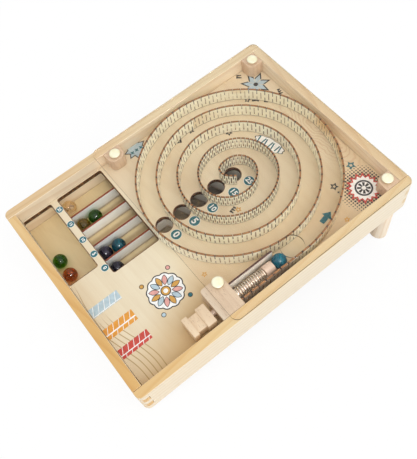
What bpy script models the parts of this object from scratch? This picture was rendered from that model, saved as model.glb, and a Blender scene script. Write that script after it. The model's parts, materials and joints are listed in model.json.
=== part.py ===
# Tabletop pinball game: a sloping wooden tray with a spiral marble track,
# a spring plunger, a clear cover, scoring lanes and nine glass marbles.
# Everything is drawn level, with the middle of the rim's top face at the
# origin, and one empty then tilts it back onto its two rear legs.

import math

import bmesh
import bpy
import numpy as np
from mathutils import Matrix, Vector

# Frame
FRAME_LENGTH = 0.350
FRAME_WIDTH = 0.256
FRAME_HEIGHT = 0.045
WALL_THICKNESS = 0.010
FRAME_CORNER_RADIUS = 0.0065
FINGER_COUNT = 5

# Boards
PLAY_BOARD_DEPTH = 0.018
PLAY_BOARD_THICKNESS = 0.005
FLOOR_THICKNESS = 0.003

# Fits
FIT_GAP = 0.0003
CUT_OVERRUN = 0.002

# Marbles and their holes
MARBLE_DIAMETER = 0.016
HOLE_DIAMETER = 0.018
HOLE_COLUMN_FROM_GUIDE = 0.0104
LOWEST_HOLE_FROM_WINDOW = 0.0148
HOLE_PITCH = 0.0235
HOLE_COUNT = 5

# Spiral track of bent strip
SPIRAL_FROM_SIDE = 0.0058
SPIRAL_FROM_BACK = 0.0065
SPIRAL_FROM_WINDOW = 0.0017
SPIRAL_PITCH = 0.0226
SPIRAL_INNER_RADIUS = 0.0141
STRIP_JOINT_SHARES = (0, 0.136, 0.323, 0.573, 0.98)
STRIP_THICKNESS = 0.002
STRIP_TOP_CLEARANCE = 0.0006
STEPS_PER_TURN = 44

# Inner curl of the last strip, as places seen from the middle of the innermost hole
CURL_LEAD_SHARE = 0.01
CURL_XS = (-0.0092, -0.0062, -0.0018, 0.0028, 0.0074, 0.0123)
CURL_YS = (-0.0085, -0.0124, -0.0134, -0.0128, -0.0094, -0.0036)
CURL_STEPS = 4

# Launch lane and plunger
LAUNCH_LANE_WIDTH = 0.0182
LAUNCH_STRIP_LENGTH = 0.0545
PLUNGER_BLOCK_FROM_WINDOW = 0.0207
PLUNGER_BLOCK_LENGTH = 0.0263
PLUNGER_BLOCK_WIDTH = 0.0385
PLUNGER_BLOCK_RADIUS = 0.003
PLUNGER_ROD_DIAMETER = 0.006
PLUNGER_ROD_CLEARANCE = 0.0005
PLUNGER_ROD_GRIP = 0.008
PLUNGER_HEAD_DIAMETER = 0.013
PLUNGER_HEAD_LENGTH = 0.0112
PLUNGER_HEAD_EDGE = 0.0008
HEAD_FROM_BLOCK = 0.0480
HANDLE_GAP = 0.0047
HANDLE_WIDTH = 0.0224
HANDLE_TOP_DEPTH = 0.0006
HANDLE_BOARD_CLEARANCE = 0.0008
HANDLE_BACK_LENGTH = 0.0106
HANDLE_NECK_LENGTH = 0.0103
HANDLE_FLANGE_LENGTH = 0.0063
HANDLE_NECK_INSET = 0.0022
HANDLE_EDGE = 0.0006

# Plunger spring
SPRING_MEAN_DIAMETER = 0.0114
SPRING_WIRE_DIAMETER = 0.0010
SPRING_CURLS = 12
SPRING_POINTS_PER_CURL = 10

# Clear cover and its screws
COVER_THICKNESS = 0.002
COVER_FROM_WINDOW = 0.0013
COVER_FRONT_RADIUS = 0.0075
LOADING_HOLE_DIAMETER = 0.025
LOADING_HOLE_FROM_HEAD = 0.0254
SCREW_HEAD_DIAMETER = 0.0122
SCREW_HEAD_HEIGHT = 0.0014
SCREW_HEAD_EDGE = 0.0004
SCREW_SHANK_DIAMETER = 0.0035
SCREW_SHANK_LENGTH = 0.014
SCREW_TIP_LENGTH = 0.003
SCREW_TIP_SHARE = 0.33
REAR_SCREW_FROM_SIDE = 0.0098
REAR_SCREW_FROM_BACK = 0.0090
LEFT_SCREW_FROM_SIDE = 0.0094
LEFT_SCREW_FROM_WINDOW = 0.0215
BLOCK_SCREW_FROM_SIDE = 0.0334
BLOCK_SCREW_FROM_BACK = 0.0074

# Cover posts
REAR_POST_WIDTH = 0.0172
REAR_POST_LENGTH = 0.0176
REAR_POST_RADIUS = 0.0065
LEFT_POST_WIDTH = 0.0165
LEFT_POST_LENGTH = 0.0200
LEFT_POST_RADIUS = 0.0075

# Windows in the play board
WINDOW_FROM_SIDE = 0.0025
TRAY_WINDOW_FROM_FRONT = 0.0010
TRAY_WINDOW_LENGTH = 0.0352
TRAY_WINDOW_PAST_RAIL = 0.0007
BAR_BETWEEN_WINDOWS = 0.0091
SCORE_WINDOW_LENGTH = 0.0577
SCORE_WINDOW_FROM_GUIDE = 0.0004
WINDOW_RADIUS = 0.0020

# Rails below the play board
RAIL_THICKNESS = 0.002
LEFT_LANE_WIDTH = 0.0276
RIGHT_LANE_WIDTH = 0.0190
LANE_PITCH = 0.0228
DIVIDER_SLOPE = math.radians(25)
LANE_STOP_FROM_WINDOW = 0.0018
LANE_STOP_THICKNESS = 0.0035
TRAY_END_FROM_DIVIDER = 0.0014
CLEAT_WIDTH = 0.007
CLEAT_END_CLEARANCE = 0.022
FRONT_CLEAT_LENGTH = 0.060

# Legs and their screws
LEG_DIAMETER = 0.020
LEG_LENGTH = 0.054
LEG_FROM_BACK = 0.0225
LEG_SCREW_FROM_WALL = 0.0060
LEG_SCREW_HEAD_DIAMETER = 0.0075
LEG_SCREW_HEAD_HEIGHT = 0.0022
LEG_SCREW_SHANK_LENGTH = 0.022

# Where the loose marbles rest
LANE_MARBLE_SHARES = {
    "marble_lane25_clear": (0, 0, 0.10),
    "marble_lane15_olive": (1, 0, 0.30),
    "marble_lane15_green": (1, 1, 0.20),
    "marble_lane5_navy": (3, 0, 0.15),
    "marble_lane5_teal": (3, 1, 0.55),
    "marble_lane0_navy": (4, 0, 0.50),
}
TRAY_GREEN_FROM_END = 0.0391
TRAY_AMBER_FROM_END = 0.0181

# Fineness of round pieces
MARBLE_SEGMENTS = 16
MARBLE_RINGS = 10
ROUND_SEGMENTS = 24
SCREW_SEGMENTS = 20
HOLE_SEGMENTS = 32
CORNER_STEPS = 6
EDGE_STEPS = 2
SMOOTH_ANGLE = math.radians(40)

# Sizes that follow from the ones above
HALF_LENGTH = FRAME_LENGTH / 2
HALF_WIDTH = FRAME_WIDTH / 2
INNER_X = HALF_WIDTH - WALL_THICKNESS
INNER_Y = HALF_LENGTH - WALL_THICKNESS
GUIDE_RAIL_FACE_X = (
    LEFT_LANE_WIDTH + RIGHT_LANE_WIDTH + RAIL_THICKNESS + LANE_PITCH * (HOLE_COUNT - 2) - INNER_X
)
RIGHT_DIVIDER_X = GUIDE_RAIL_FACE_X - RIGHT_LANE_WIDTH - RAIL_THICKNESS / 2
DIVIDER_XS = [RIGHT_DIVIDER_X - LANE_PITCH * k for k in range(HOLE_COUNT - 1)]
TRAY_END_FACE_X = RIGHT_DIVIDER_X + TRAY_END_FROM_DIVIDER
WINDOW_LEFT_X = WINDOW_FROM_SIDE - INNER_X
TRAY_WINDOW_FRONT_Y = TRAY_WINDOW_FROM_FRONT - INNER_Y
TRAY_WINDOW_BACK_Y = TRAY_WINDOW_FRONT_Y + TRAY_WINDOW_LENGTH
TRAY_WINDOW_RIGHT_X = TRAY_END_FACE_X + TRAY_WINDOW_PAST_RAIL
SCORE_WINDOW_FRONT_Y = TRAY_WINDOW_BACK_Y + BAR_BETWEEN_WINDOWS
SCORE_WINDOW_BACK_Y = SCORE_WINDOW_FRONT_Y + SCORE_WINDOW_LENGTH
SCORE_WINDOW_RIGHT_X = GUIDE_RAIL_FACE_X - SCORE_WINDOW_FROM_GUIDE
LANE_STOP_FACE_Y = SCORE_WINDOW_FRONT_Y - LANE_STOP_FROM_WINDOW
HOLE_COLUMN_X = GUIDE_RAIL_FACE_X - HOLE_COLUMN_FROM_GUIDE
LOWEST_HOLE_Y = SCORE_WINDOW_BACK_Y + LOWEST_HOLE_FROM_WINDOW
MARBLE_RADIUS = MARBLE_DIAMETER / 2
BOARD_TOP = -PLAY_BOARD_DEPTH
BOARD_UNDERSIDE = BOARD_TOP - PLAY_BOARD_THICKNESS
FLOOR_TOP = FLOOR_THICKNESS - FRAME_HEIGHT
RAIL_BOTTOM = FLOOR_TOP + FIT_GAP
RAIL_TOP = BOARD_UNDERSIDE - FIT_GAP
STRIP_BOTTOM = BOARD_TOP + FIT_GAP
STRIP_TOP = -STRIP_TOP_CLEARANCE
POST_TOP = -FIT_GAP
OUTER_STRIP_X = INNER_X - SPIRAL_FROM_SIDE
SPIRAL_BACK_Y = INNER_Y - SPIRAL_FROM_BACK
SPIRAL_FRONT_Y = SCORE_WINDOW_BACK_Y + SPIRAL_FROM_WINDOW
SPIRAL_HALF_WIDTH = OUTER_STRIP_X + SPIRAL_PITCH / 4
SPIRAL_HALF_HEIGHT = (SPIRAL_BACK_Y - SPIRAL_FRONT_Y + SPIRAL_PITCH) / 2
SPIRAL_CENTRE_X = -SPIRAL_PITCH / 4
SPIRAL_CENTRE_Y = (SPIRAL_BACK_Y + SPIRAL_FRONT_Y - SPIRAL_PITCH / 2) / 2
SPIRAL_TURNS = (min(SPIRAL_HALF_WIDTH, SPIRAL_HALF_HEIGHT) - SPIRAL_INNER_RADIUS) / SPIRAL_PITCH
LAUNCH_LANE_X = OUTER_STRIP_X - (STRIP_THICKNESS + LAUNCH_LANE_WIDTH) / 2
LAUNCH_STRIP_X = OUTER_STRIP_X - STRIP_THICKNESS - LAUNCH_LANE_WIDTH
PLUNGER_AXIS_Z = BOARD_TOP + MARBLE_RADIUS
PLUNGER_BLOCK_BACK_Y = SCORE_WINDOW_BACK_Y + PLUNGER_BLOCK_FROM_WINDOW
PLUNGER_BLOCK_FRONT_Y = PLUNGER_BLOCK_BACK_Y - PLUNGER_BLOCK_LENGTH
HEAD_FRONT_Y = PLUNGER_BLOCK_BACK_Y + HEAD_FROM_BLOCK
HEAD_BACK_Y = HEAD_FRONT_Y - PLUNGER_HEAD_LENGTH
HANDLE_BACK_Y = PLUNGER_BLOCK_FRONT_Y - HANDLE_GAP
HANDLE_LENGTH = HANDLE_BACK_LENGTH + HANDLE_NECK_LENGTH + HANDLE_FLANGE_LENGTH
LEG_X = HALF_WIDTH - LEG_DIAMETER / 2
LEG_Y = HALF_LENGTH - LEG_FROM_BACK
TILT = math.atan2(LEG_LENGTH, LEG_Y + HALF_LENGTH)
COVER_BOTTOM = FIT_GAP
COVER_TOP = COVER_BOTTOM + COVER_THICKNESS
COVER_FRONT_Y = SCORE_WINDOW_BACK_Y + COVER_FROM_WINDOW
LOADING_HOLE_Y = HEAD_FRONT_Y + LOADING_HOLE_FROM_HEAD
LEFT_SCREW_Y = SCORE_WINDOW_BACK_Y + LEFT_SCREW_FROM_WINDOW
BLOCK_SCREW_Y = PLUNGER_BLOCK_BACK_Y - BLOCK_SCREW_FROM_BACK


# Scene and materials

def clear_scene():
    for item in list(bpy.data.objects):
        bpy.data.objects.remove(item, do_unlink=True)


def make_material(name, colour, roughness, metallic=0.0, transmission=0.0):
    material = bpy.data.materials.new(name)
    material.use_nodes = True
    shader = material.node_tree.nodes["Principled BSDF"]
    shader.inputs["Base Color"].default_value = (*colour, 1.0)
    shader.inputs["Roughness"].default_value = roughness
    shader.inputs["Metallic"].default_value = metallic
    shader.inputs["Transmission Weight"].default_value = transmission
    material.diffuse_color = (*colour, 1.0)
    return material


def make_materials():
    return {
        "frame_wood": make_material("frame_wood", (0.74, 0.53, 0.31), 0.55),
        "board_ply": make_material("board_ply", (0.78, 0.63, 0.42), 0.55),
        "strip_ply": make_material("strip_ply", (0.62, 0.47, 0.30), 0.60),
        "block_wood": make_material("block_wood", (0.72, 0.54, 0.39), 0.55),
        "rail_wood": make_material("rail_wood", (0.80, 0.70, 0.55), 0.60),
        "clear_plastic": make_material("clear_plastic", (0.98, 0.98, 0.97), 0.05, 0.0, 1.0),
        "brass": make_material("brass", (0.86, 0.80, 0.52), 0.30, 0.9),
        "steel": make_material("steel", (0.60, 0.60, 0.60), 0.30, 1.0),
        "glass_clear": make_material("glass_clear", (0.62, 0.50, 0.30), 0.05, 0.0, 0.8),
        "glass_olive": make_material("glass_olive", (0.30, 0.30, 0.10), 0.05, 0.0, 0.8),
        "glass_green": make_material("glass_green", (0.03, 0.20, 0.03), 0.05, 0.0, 0.6),
        "glass_navy": make_material("glass_navy", (0.02, 0.02, 0.05), 0.05, 0.0, 0.3),
        "glass_teal": make_material("glass_teal", (0.01, 0.18, 0.25), 0.05, 0.0, 0.4),
        "glass_amber": make_material("glass_amber", (0.40, 0.14, 0.05), 0.05, 0.0, 0.6),
    }


def make_tilted_base():
    base = bpy.data.objects.new("tilted_base", None)
    bpy.context.collection.objects.link(base)
    turn = Matrix.Rotation(TILT, 4, "X")
    front_edge = Vector((0, -HALF_LENGTH, -FRAME_HEIGHT))
    depth = FRAME_LENGTH * math.cos(TILT) - FRAME_HEIGHT * math.sin(TILT)
    place = Vector((0, -depth / 2, 0)) - turn @ front_edge
    base.rotation_euler = (TILT, 0, 0)
    base.location = place
    return base


# Mesh building

def object_from_bmesh(name, mesh_data, material, parent, location=(0, 0, 0)):
    mesh = bpy.data.meshes.new(name)
    bmesh.ops.recalc_face_normals(mesh_data, faces=mesh_data.faces)
    mesh_data.to_mesh(mesh)
    mesh_data.free()
    if material is not None:
        mesh.materials.append(material)
    item = bpy.data.objects.new(name, mesh)
    item.parent = parent
    item.location = location
    bpy.context.collection.objects.link(item)
    return item


def shade_round(item):
    item.data.shade_smooth()
    item.data.set_sharp_from_angle(angle=SMOOTH_ANGLE)


def loft(rings):
    # Faces between successive rings of points, with a cap on each end.
    mesh_data = bmesh.new()
    levels = [[mesh_data.verts.new(point) for point in ring] for ring in rings]
    for lower, upper in zip(levels, levels[1:]):
        count = len(lower)
        for k in range(count):
            after = (k + 1) % count
            mesh_data.faces.new((lower[k], lower[after], upper[after], upper[k]))
    mesh_data.faces.new(levels[0])
    mesh_data.faces.new(levels[-1])
    return mesh_data


def prism(outline, bottom, top):
    low = [(x, y, bottom) for x, y in outline]
    high = [(x, y, top) for x, y in outline]
    return loft([low, high])


def rectangle(x_low, x_high, y_low, y_high):
    return [(x_low, y_low), (x_high, y_low), (x_high, y_high), (x_low, y_high)]


def rounded_rectangle(x_low, x_high, y_low, y_high, radii):
    # The radii go round from the front left corner, counter-clockwise.
    corners = (
        (x_low, y_low, 1, 1, math.pi),
        (x_high, y_low, -1, 1, 1.5 * math.pi),
        (x_high, y_high, -1, -1, 0),
        (x_low, y_high, 1, -1, 0.5 * math.pi),
    )
    outline = []
    for (x, y, side_x, side_y, start), radius in zip(corners, radii):
        if radius == 0:
            outline.append((x, y))
            continue
        centre_x = x + side_x * radius
        centre_y = y + side_y * radius
        for step in range(CORNER_STEPS + 1):
            angle = start + 0.5 * math.pi * step / CORNER_STEPS
            outline.append((centre_x + radius * math.cos(angle), centre_y + radius * math.sin(angle)))
    return outline


def circle(centre_x, centre_y, radius, segments):
    angles = [2 * math.pi * k / segments for k in range(segments)]
    return [(centre_x + radius * math.cos(a), centre_y + radius * math.sin(a)) for a in angles]


def turned(profile, segments):
    # A profile of radius and height pairs, spun about Z and closed at both ends.
    rings = []
    for radius, height in profile:
        rings.append([(x, y, height) for x, y in circle(0, 0, radius, segments)])
    return loft(rings)


def turned_along_y(*profile, axis_x=LAUNCH_LANE_X, axis_z=PLUNGER_AXIS_Z, segments=ROUND_SEGMENTS):
    # A profile of radius and distance pairs, spun about a line that runs front to back.
    rings = []
    for radius, distance in profile:
        ring = circle(axis_x, axis_z, radius, segments)
        rings.append([(x, distance, z) for x, z in ring])
    return loft(rings)


def ribbon(points, thickness, bottom, top):
    # An upright strip that follows a line of points seen from above.
    path = np.array(points)
    steps = np.diff(path, axis=0)
    steps /= np.linalg.norm(steps, axis=1)[:, None]
    normals = np.stack([-steps[:, 1], steps[:, 0]], axis=1)
    before = np.vstack([normals[:1], normals])
    after = np.vstack([normals, normals[-1:]])
    middle = before + after
    middle /= np.linalg.norm(middle, axis=1)[:, None]
    reach = thickness / 2 / np.sum(middle * before, axis=1)
    left = path + middle * reach[:, None]
    right = path - middle * reach[:, None]
    rings = []
    for (lx, ly), (rx, ry) in zip(left, right):
        rings.append([(lx, ly, bottom), (rx, ry, bottom), (rx, ry, top), (lx, ly, top)])
    return loft(rings)


def add_cutter(name, mesh_data, base):
    cutter = object_from_bmesh(name, mesh_data, None, base)
    cutter.hide_render = True
    cutter.display_type = "WIRE"
    return cutter


def cut(item, cutter, operation="DIFFERENCE"):
    modifier = item.modifiers.new(cutter.name, "BOOLEAN")
    modifier.operation = operation
    modifier.object = cutter


def ease_edges(item, width):
    modifier = item.modifiers.new("eased_edges", "BEVEL")
    modifier.width = width
    modifier.segments = EDGE_STEPS
    modifier.limit_method = "ANGLE"


# Frame walls

def finger_band(level):
    finger_height = FRAME_HEIGHT / FINGER_COUNT
    low = level * finger_height - FRAME_HEIGHT - FIT_GAP / 2
    high = (level + 1) * finger_height - FRAME_HEIGHT + FIT_GAP / 2
    if level == 0:
        low -= CUT_OVERRUN
    if level == FINGER_COUNT - 1:
        high += CUT_OVERRUN
    return low, high


def add_walls(base, materials):
    rounding = add_cutter(
        "frame_rounding",
        prism(
            rounded_rectangle(-HALF_WIDTH, HALF_WIDTH, -HALF_LENGTH, HALF_LENGTH, [FRAME_CORNER_RADIUS] * 4),
            -FRAME_HEIGHT - CUT_OVERRUN,
            CUT_OVERRUN,
        ),
        base,
    )
    notch_x = INNER_X - FIT_GAP
    notch_y = INNER_Y - FIT_GAP
    outside_x = HALF_WIDTH + CUT_OVERRUN
    outside_y = HALF_LENGTH + CUT_OVERRUN
    for name, side in (("left_wall", -1), ("right_wall", 1)):
        near, far = sorted((side * INNER_X, side * HALF_WIDTH))
        outline = rectangle(near, far, -HALF_LENGTH, HALF_LENGTH)
        wall = object_from_bmesh(name, prism(outline, -FRAME_HEIGHT, 0), materials["frame_wood"], base)
        near_cut, far_cut = sorted((side * (INNER_X - CUT_OVERRUN), side * outside_x))
        for level in range(1, FINGER_COUNT, 2):
            low, high = finger_band(level)
            for end in (-1, 1):
                y_low, y_high = sorted((end * notch_y, end * outside_y))
                notch = prism(rectangle(near_cut, far_cut, y_low, y_high), low, high)
                cut(wall, add_cutter(f"{name}_notch_{level}_{end}", notch, base))
        cut(wall, rounding, "INTERSECT")
    for name, end in (("front_wall", -1), ("back_wall", 1)):
        near, far = sorted((end * INNER_Y, end * HALF_LENGTH))
        outline = rectangle(-HALF_WIDTH, HALF_WIDTH, near, far)
        wall = object_from_bmesh(name, prism(outline, -FRAME_HEIGHT, 0), materials["frame_wood"], base)
        near_cut, far_cut = sorted((end * (INNER_Y - CUT_OVERRUN), end * outside_y))
        for level in range(0, FINGER_COUNT, 2):
            low, high = finger_band(level)
            for side in (-1, 1):
                x_low, x_high = sorted((side * notch_x, side * outside_x))
                notch = prism(rectangle(x_low, x_high, near_cut, far_cut), low, high)
                cut(wall, add_cutter(f"{name}_notch_{level}_{side}", notch, base))
        cut(wall, rounding, "INTERSECT")


# Boards

def hole_places():
    return [(HOLE_COLUMN_X, LOWEST_HOLE_Y + HOLE_PITCH * k) for k in range(HOLE_COUNT)]


def drill(item, name, x, y, diameter, bottom, top, base, segments=HOLE_SEGMENTS):
    outline = circle(x, y, diameter / 2, segments)
    cut(item, add_cutter(name, prism(outline, bottom - CUT_OVERRUN, top + CUT_OVERRUN), base))


def add_play_board(base, materials):
    edge_x = INNER_X - FIT_GAP
    edge_y = INNER_Y - FIT_GAP
    outline = rectangle(-edge_x, edge_x, -edge_y, edge_y)
    board = object_from_bmesh(
        "play_board", prism(outline, BOARD_UNDERSIDE, BOARD_TOP), materials["board_ply"], base
    )
    windows = (
        ("score_window", SCORE_WINDOW_RIGHT_X, SCORE_WINDOW_FRONT_Y, SCORE_WINDOW_BACK_Y),
        ("tray_window", TRAY_WINDOW_RIGHT_X, TRAY_WINDOW_FRONT_Y, TRAY_WINDOW_BACK_Y),
    )
    for name, right, front, back in windows:
        opening = rounded_rectangle(WINDOW_LEFT_X, right, front, back, [WINDOW_RADIUS] * 4)
        solid = prism(opening, BOARD_UNDERSIDE - CUT_OVERRUN, BOARD_TOP + CUT_OVERRUN)
        cut(board, add_cutter(name, solid, base))
    for k, (x, y) in enumerate(hole_places()):
        drill(board, f"score_hole_{k}", x, y, HOLE_DIAMETER, BOARD_UNDERSIDE, BOARD_TOP, base)


def leg_screw_places():
    x = INNER_X - LEG_SCREW_FROM_WALL
    return [("left", -x, LEG_Y), ("right", x, LEG_Y)]


def add_floor(base, materials):
    edge_x = INNER_X - FIT_GAP
    edge_y = INNER_Y - FIT_GAP
    outline = rectangle(-edge_x, edge_x, -edge_y, edge_y)
    floor = object_from_bmesh(
        "floor_board", prism(outline, -FRAME_HEIGHT, FLOOR_TOP), materials["board_ply"], base
    )
    hole = SCREW_SHANK_DIAMETER + 2 * FIT_GAP
    for side, x, y in leg_screw_places():
        drill(floor, f"floor_hole_{side}", x, y, hole, -FRAME_HEIGHT, FLOOR_TOP, base, SCREW_SEGMENTS)


# Rails under the play board

def divider_line_y(x, level):
    # Height up the board of the sloping line that passes below hole number level.
    hole_x, lowest_y = hole_places()[0]
    middle = lowest_y + HOLE_PITCH * level - HOLE_PITCH / 2
    return middle + (x - hole_x) * math.tan(DIVIDER_SLOPE)


def add_rails(base, materials):
    wood = materials["rail_wood"]
    guide_x = GUIDE_RAIL_FACE_X + RAIL_THICKNESS / 2
    stop_back = LANE_STOP_FACE_Y + FIT_GAP
    top_level = HOLE_COUNT
    start_x = GUIDE_RAIL_FACE_X - FIT_GAP
    guide_top = divider_line_y(guide_x, top_level) + RAIL_THICKNESS
    guide = ribbon([(guide_x, stop_back), (guide_x, guide_top)], RAIL_THICKNESS, RAIL_BOTTOM, RAIL_TOP)
    object_from_bmesh("hole_guide_rail", guide, wood, base)
    for k, x in enumerate(DIVIDER_XS):
        level = k + 1
        line = [
            (start_x, divider_line_y(start_x, level)),
            (x, divider_line_y(x, level)),
            (x, stop_back),
        ]
        solid = ribbon(line, RAIL_THICKNESS, RAIL_BOTTOM, RAIL_TOP)
        divider = object_from_bmesh(f"lane_divider_{level}", solid, wood, base)
        trim = prism(
            rectangle(start_x, start_x + HOLE_PITCH, -HALF_LENGTH, HALF_LENGTH),
            RAIL_BOTTOM - CUT_OVERRUN,
            RAIL_TOP + CUT_OVERRUN,
        )
        cut(divider, add_cutter(f"lane_divider_trim_{level}", trim, base))
    slant = RAIL_THICKNESS * math.tan(DIVIDER_SLOPE)
    left_x = slant - INNER_X
    right_x = start_x - slant
    line = [(left_x, divider_line_y(left_x, top_level)), (right_x, divider_line_y(right_x, top_level))]
    object_from_bmesh("upper_guide_rail", ribbon(line, RAIL_THICKNESS, RAIL_BOTTOM, RAIL_TOP), wood, base)
    stop_front = LANE_STOP_FACE_Y - LANE_STOP_THICKNESS
    edge_x = INNER_X - FIT_GAP
    stop = prism(
        rectangle(-edge_x, guide_x + RAIL_THICKNESS / 2, stop_front, LANE_STOP_FACE_Y), RAIL_BOTTOM, RAIL_TOP
    )
    object_from_bmesh("lane_stop_rail", stop, wood, base)
    tray_end = prism(
        rectangle(
            TRAY_END_FACE_X,
            TRAY_END_FACE_X + RAIL_THICKNESS,
            FIT_GAP - INNER_Y,
            stop_front - FIT_GAP,
        ),
        RAIL_BOTTOM,
        RAIL_TOP,
    )
    object_from_bmesh("tray_end_rail", tray_end, wood, base)


def add_cleats(base, materials):
    # Strips along the walls that carry the play board where no rail does.
    edge_x = INNER_X - FIT_GAP
    edge_y = INNER_Y - FIT_GAP
    side_end = edge_y - CLEAT_END_CLEARANCE
    left_start = divider_line_y(-edge_x + CLEAT_WIDTH, HOLE_COUNT) + RAIL_THICKNESS
    back_x = edge_x - CLEAT_END_CLEARANCE
    front_end = edge_x - CLEAT_WIDTH - FIT_GAP
    front_start = front_end - FRONT_CLEAT_LENGTH
    outlines = {
        "board_cleat_right": rectangle(edge_x - CLEAT_WIDTH, edge_x, -side_end, side_end),
        "board_cleat_left": rectangle(-edge_x, CLEAT_WIDTH - edge_x, left_start, side_end),
        "board_cleat_back": rectangle(-back_x, back_x, edge_y - CLEAT_WIDTH, edge_y),
        "board_cleat_front": rectangle(front_start, front_end, -edge_y, CLEAT_WIDTH - edge_y),
    }
    for name, outline in outlines.items():
        object_from_bmesh(name, prism(outline, RAIL_BOTTOM, RAIL_TOP), materials["rail_wood"], base)


# Spiral track

def spiral_point(angle):
    inward = SPIRAL_PITCH * angle / (2 * math.pi)
    x = SPIRAL_CENTRE_X + (SPIRAL_HALF_WIDTH - inward) * math.cos(angle)
    y = SPIRAL_CENTRE_Y + (SPIRAL_HALF_HEIGHT - inward) * math.sin(angle)
    return x, y


def smooth_curve(places, steps):
    # A curve through all places but the first and the last, which only steer its ends.
    points = []
    for a, b, c, d in zip(places, places[1:], places[2:], places[3:]):
        for step in range(1, steps + 1):
            t = step / steps
            bend = (2 * a - 5 * b + 4 * c - d) * t**2 + (3 * b - a - 3 * c + d) * t**3
            points.append(tuple(b + ((c - a) * t + bend) / 2))
    return points


def curl_points():
    hole_x, hole_y = hole_places()[-1]
    start = STRIP_JOINT_SHARES[-1] * SPIRAL_TURNS * 2 * math.pi
    lead = CURL_LEAD_SHARE * SPIRAL_TURNS * 2 * math.pi
    places = [Vector(spiral_point(start - lead)), Vector(spiral_point(start))]
    places += [Vector((hole_x + x, hole_y + y)) for x, y in zip(CURL_XS, CURL_YS)]
    places.append(2 * places[-1] - places[-2])
    return smooth_curve(places, CURL_STEPS)


def add_spiral(base, materials):
    wood = materials["strip_ply"]
    start_y = PLUNGER_BLOCK_BACK_Y + FIT_GAP
    joints = [SPIRAL_TURNS * share for share in STRIP_JOINT_SHARES]
    for k, (first, last) in enumerate(zip(joints, joints[1:])):
        half_gap = FIT_GAP / 2 / (SPIRAL_HALF_WIDTH - SPIRAL_PITCH * last)
        count = round(STEPS_PER_TURN * (last - first))
        angles = np.linspace(2 * math.pi * first + half_gap, 2 * math.pi * last - half_gap, count)
        points = [spiral_point(angle) for angle in angles]
        if k == 0:
            points.insert(0, (OUTER_STRIP_X, start_y))
        if last == joints[-1]:
            points += curl_points()
        solid = ribbon(points, STRIP_THICKNESS, STRIP_BOTTOM, STRIP_TOP)
        shade_round(object_from_bmesh(f"spiral_strip_{k + 1}", solid, wood, base))
    line = [(LAUNCH_STRIP_X, start_y), (LAUNCH_STRIP_X, start_y + LAUNCH_STRIP_LENGTH)]
    solid = ribbon(line, STRIP_THICKNESS, STRIP_BOTTOM, STRIP_TOP)
    object_from_bmesh("launch_lane_strip", solid, wood, base)


# Posts and plunger block

def cover_screw_places():
    rear_x = INNER_X - REAR_SCREW_FROM_SIDE
    rear_y = INNER_Y - REAR_SCREW_FROM_BACK
    return {
        "rear_left": (-rear_x, rear_y),
        "rear_right": (rear_x, rear_y),
        "front_left": (LEFT_SCREW_FROM_SIDE - INNER_X, LEFT_SCREW_Y),
        "front_right": (INNER_X - BLOCK_SCREW_FROM_SIDE, BLOCK_SCREW_Y),
    }


def add_posts(base, materials):
    edge_x = INNER_X - FIT_GAP
    edge_y = INNER_Y - FIT_GAP
    post_x = edge_x - REAR_POST_WIDTH
    post_y = edge_y - REAR_POST_LENGTH
    block_left = edge_x - PLUNGER_BLOCK_WIDTH
    half_left = LEFT_POST_LENGTH / 2
    outlines = {
        "rear_left": rounded_rectangle(-edge_x, -post_x, post_y, edge_y, (0, REAR_POST_RADIUS, 0, 0)),
        "rear_right": rounded_rectangle(post_x, edge_x, post_y, edge_y, (REAR_POST_RADIUS, 0, 0, 0)),
        "front_left": rounded_rectangle(
            -edge_x,
            LEFT_POST_WIDTH - edge_x,
            LEFT_SCREW_Y - half_left,
            LEFT_SCREW_Y + half_left,
            (0, LEFT_POST_RADIUS, LEFT_POST_RADIUS, 0),
        ),
        "front_right": rounded_rectangle(
            block_left,
            edge_x,
            PLUNGER_BLOCK_FRONT_Y,
            PLUNGER_BLOCK_BACK_Y,
            (PLUNGER_BLOCK_RADIUS, 0, 0, PLUNGER_BLOCK_RADIUS),
        ),
    }
    names = {
        "rear_left": "rear_left_post",
        "rear_right": "rear_right_post",
        "front_left": "front_left_post",
        "front_right": "plunger_block",
    }
    hole = SCREW_SHANK_DIAMETER + 2 * FIT_GAP
    for corner, outline in outlines.items():
        name = names[corner]
        solid = prism(outline, STRIP_BOTTOM, POST_TOP)
        post = object_from_bmesh(name, solid, materials["block_wood"], base)
        x, y = cover_screw_places()[corner]
        depth = -SCREW_SHANK_LENGTH - FIT_GAP + CUT_OVERRUN
        drill(post, f"{name}_pilot", x, y, hole, depth, POST_TOP, base, SCREW_SEGMENTS)
        if name == "plunger_block":
            bore = turned_along_y(
                (PLUNGER_ROD_DIAMETER / 2 + PLUNGER_ROD_CLEARANCE, PLUNGER_BLOCK_FRONT_Y - CUT_OVERRUN),
                (PLUNGER_ROD_DIAMETER / 2 + PLUNGER_ROD_CLEARANCE, PLUNGER_BLOCK_BACK_Y + CUT_OVERRUN),
            )
            cut(post, add_cutter("plunger_bore", bore, base))


# Plunger

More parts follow.
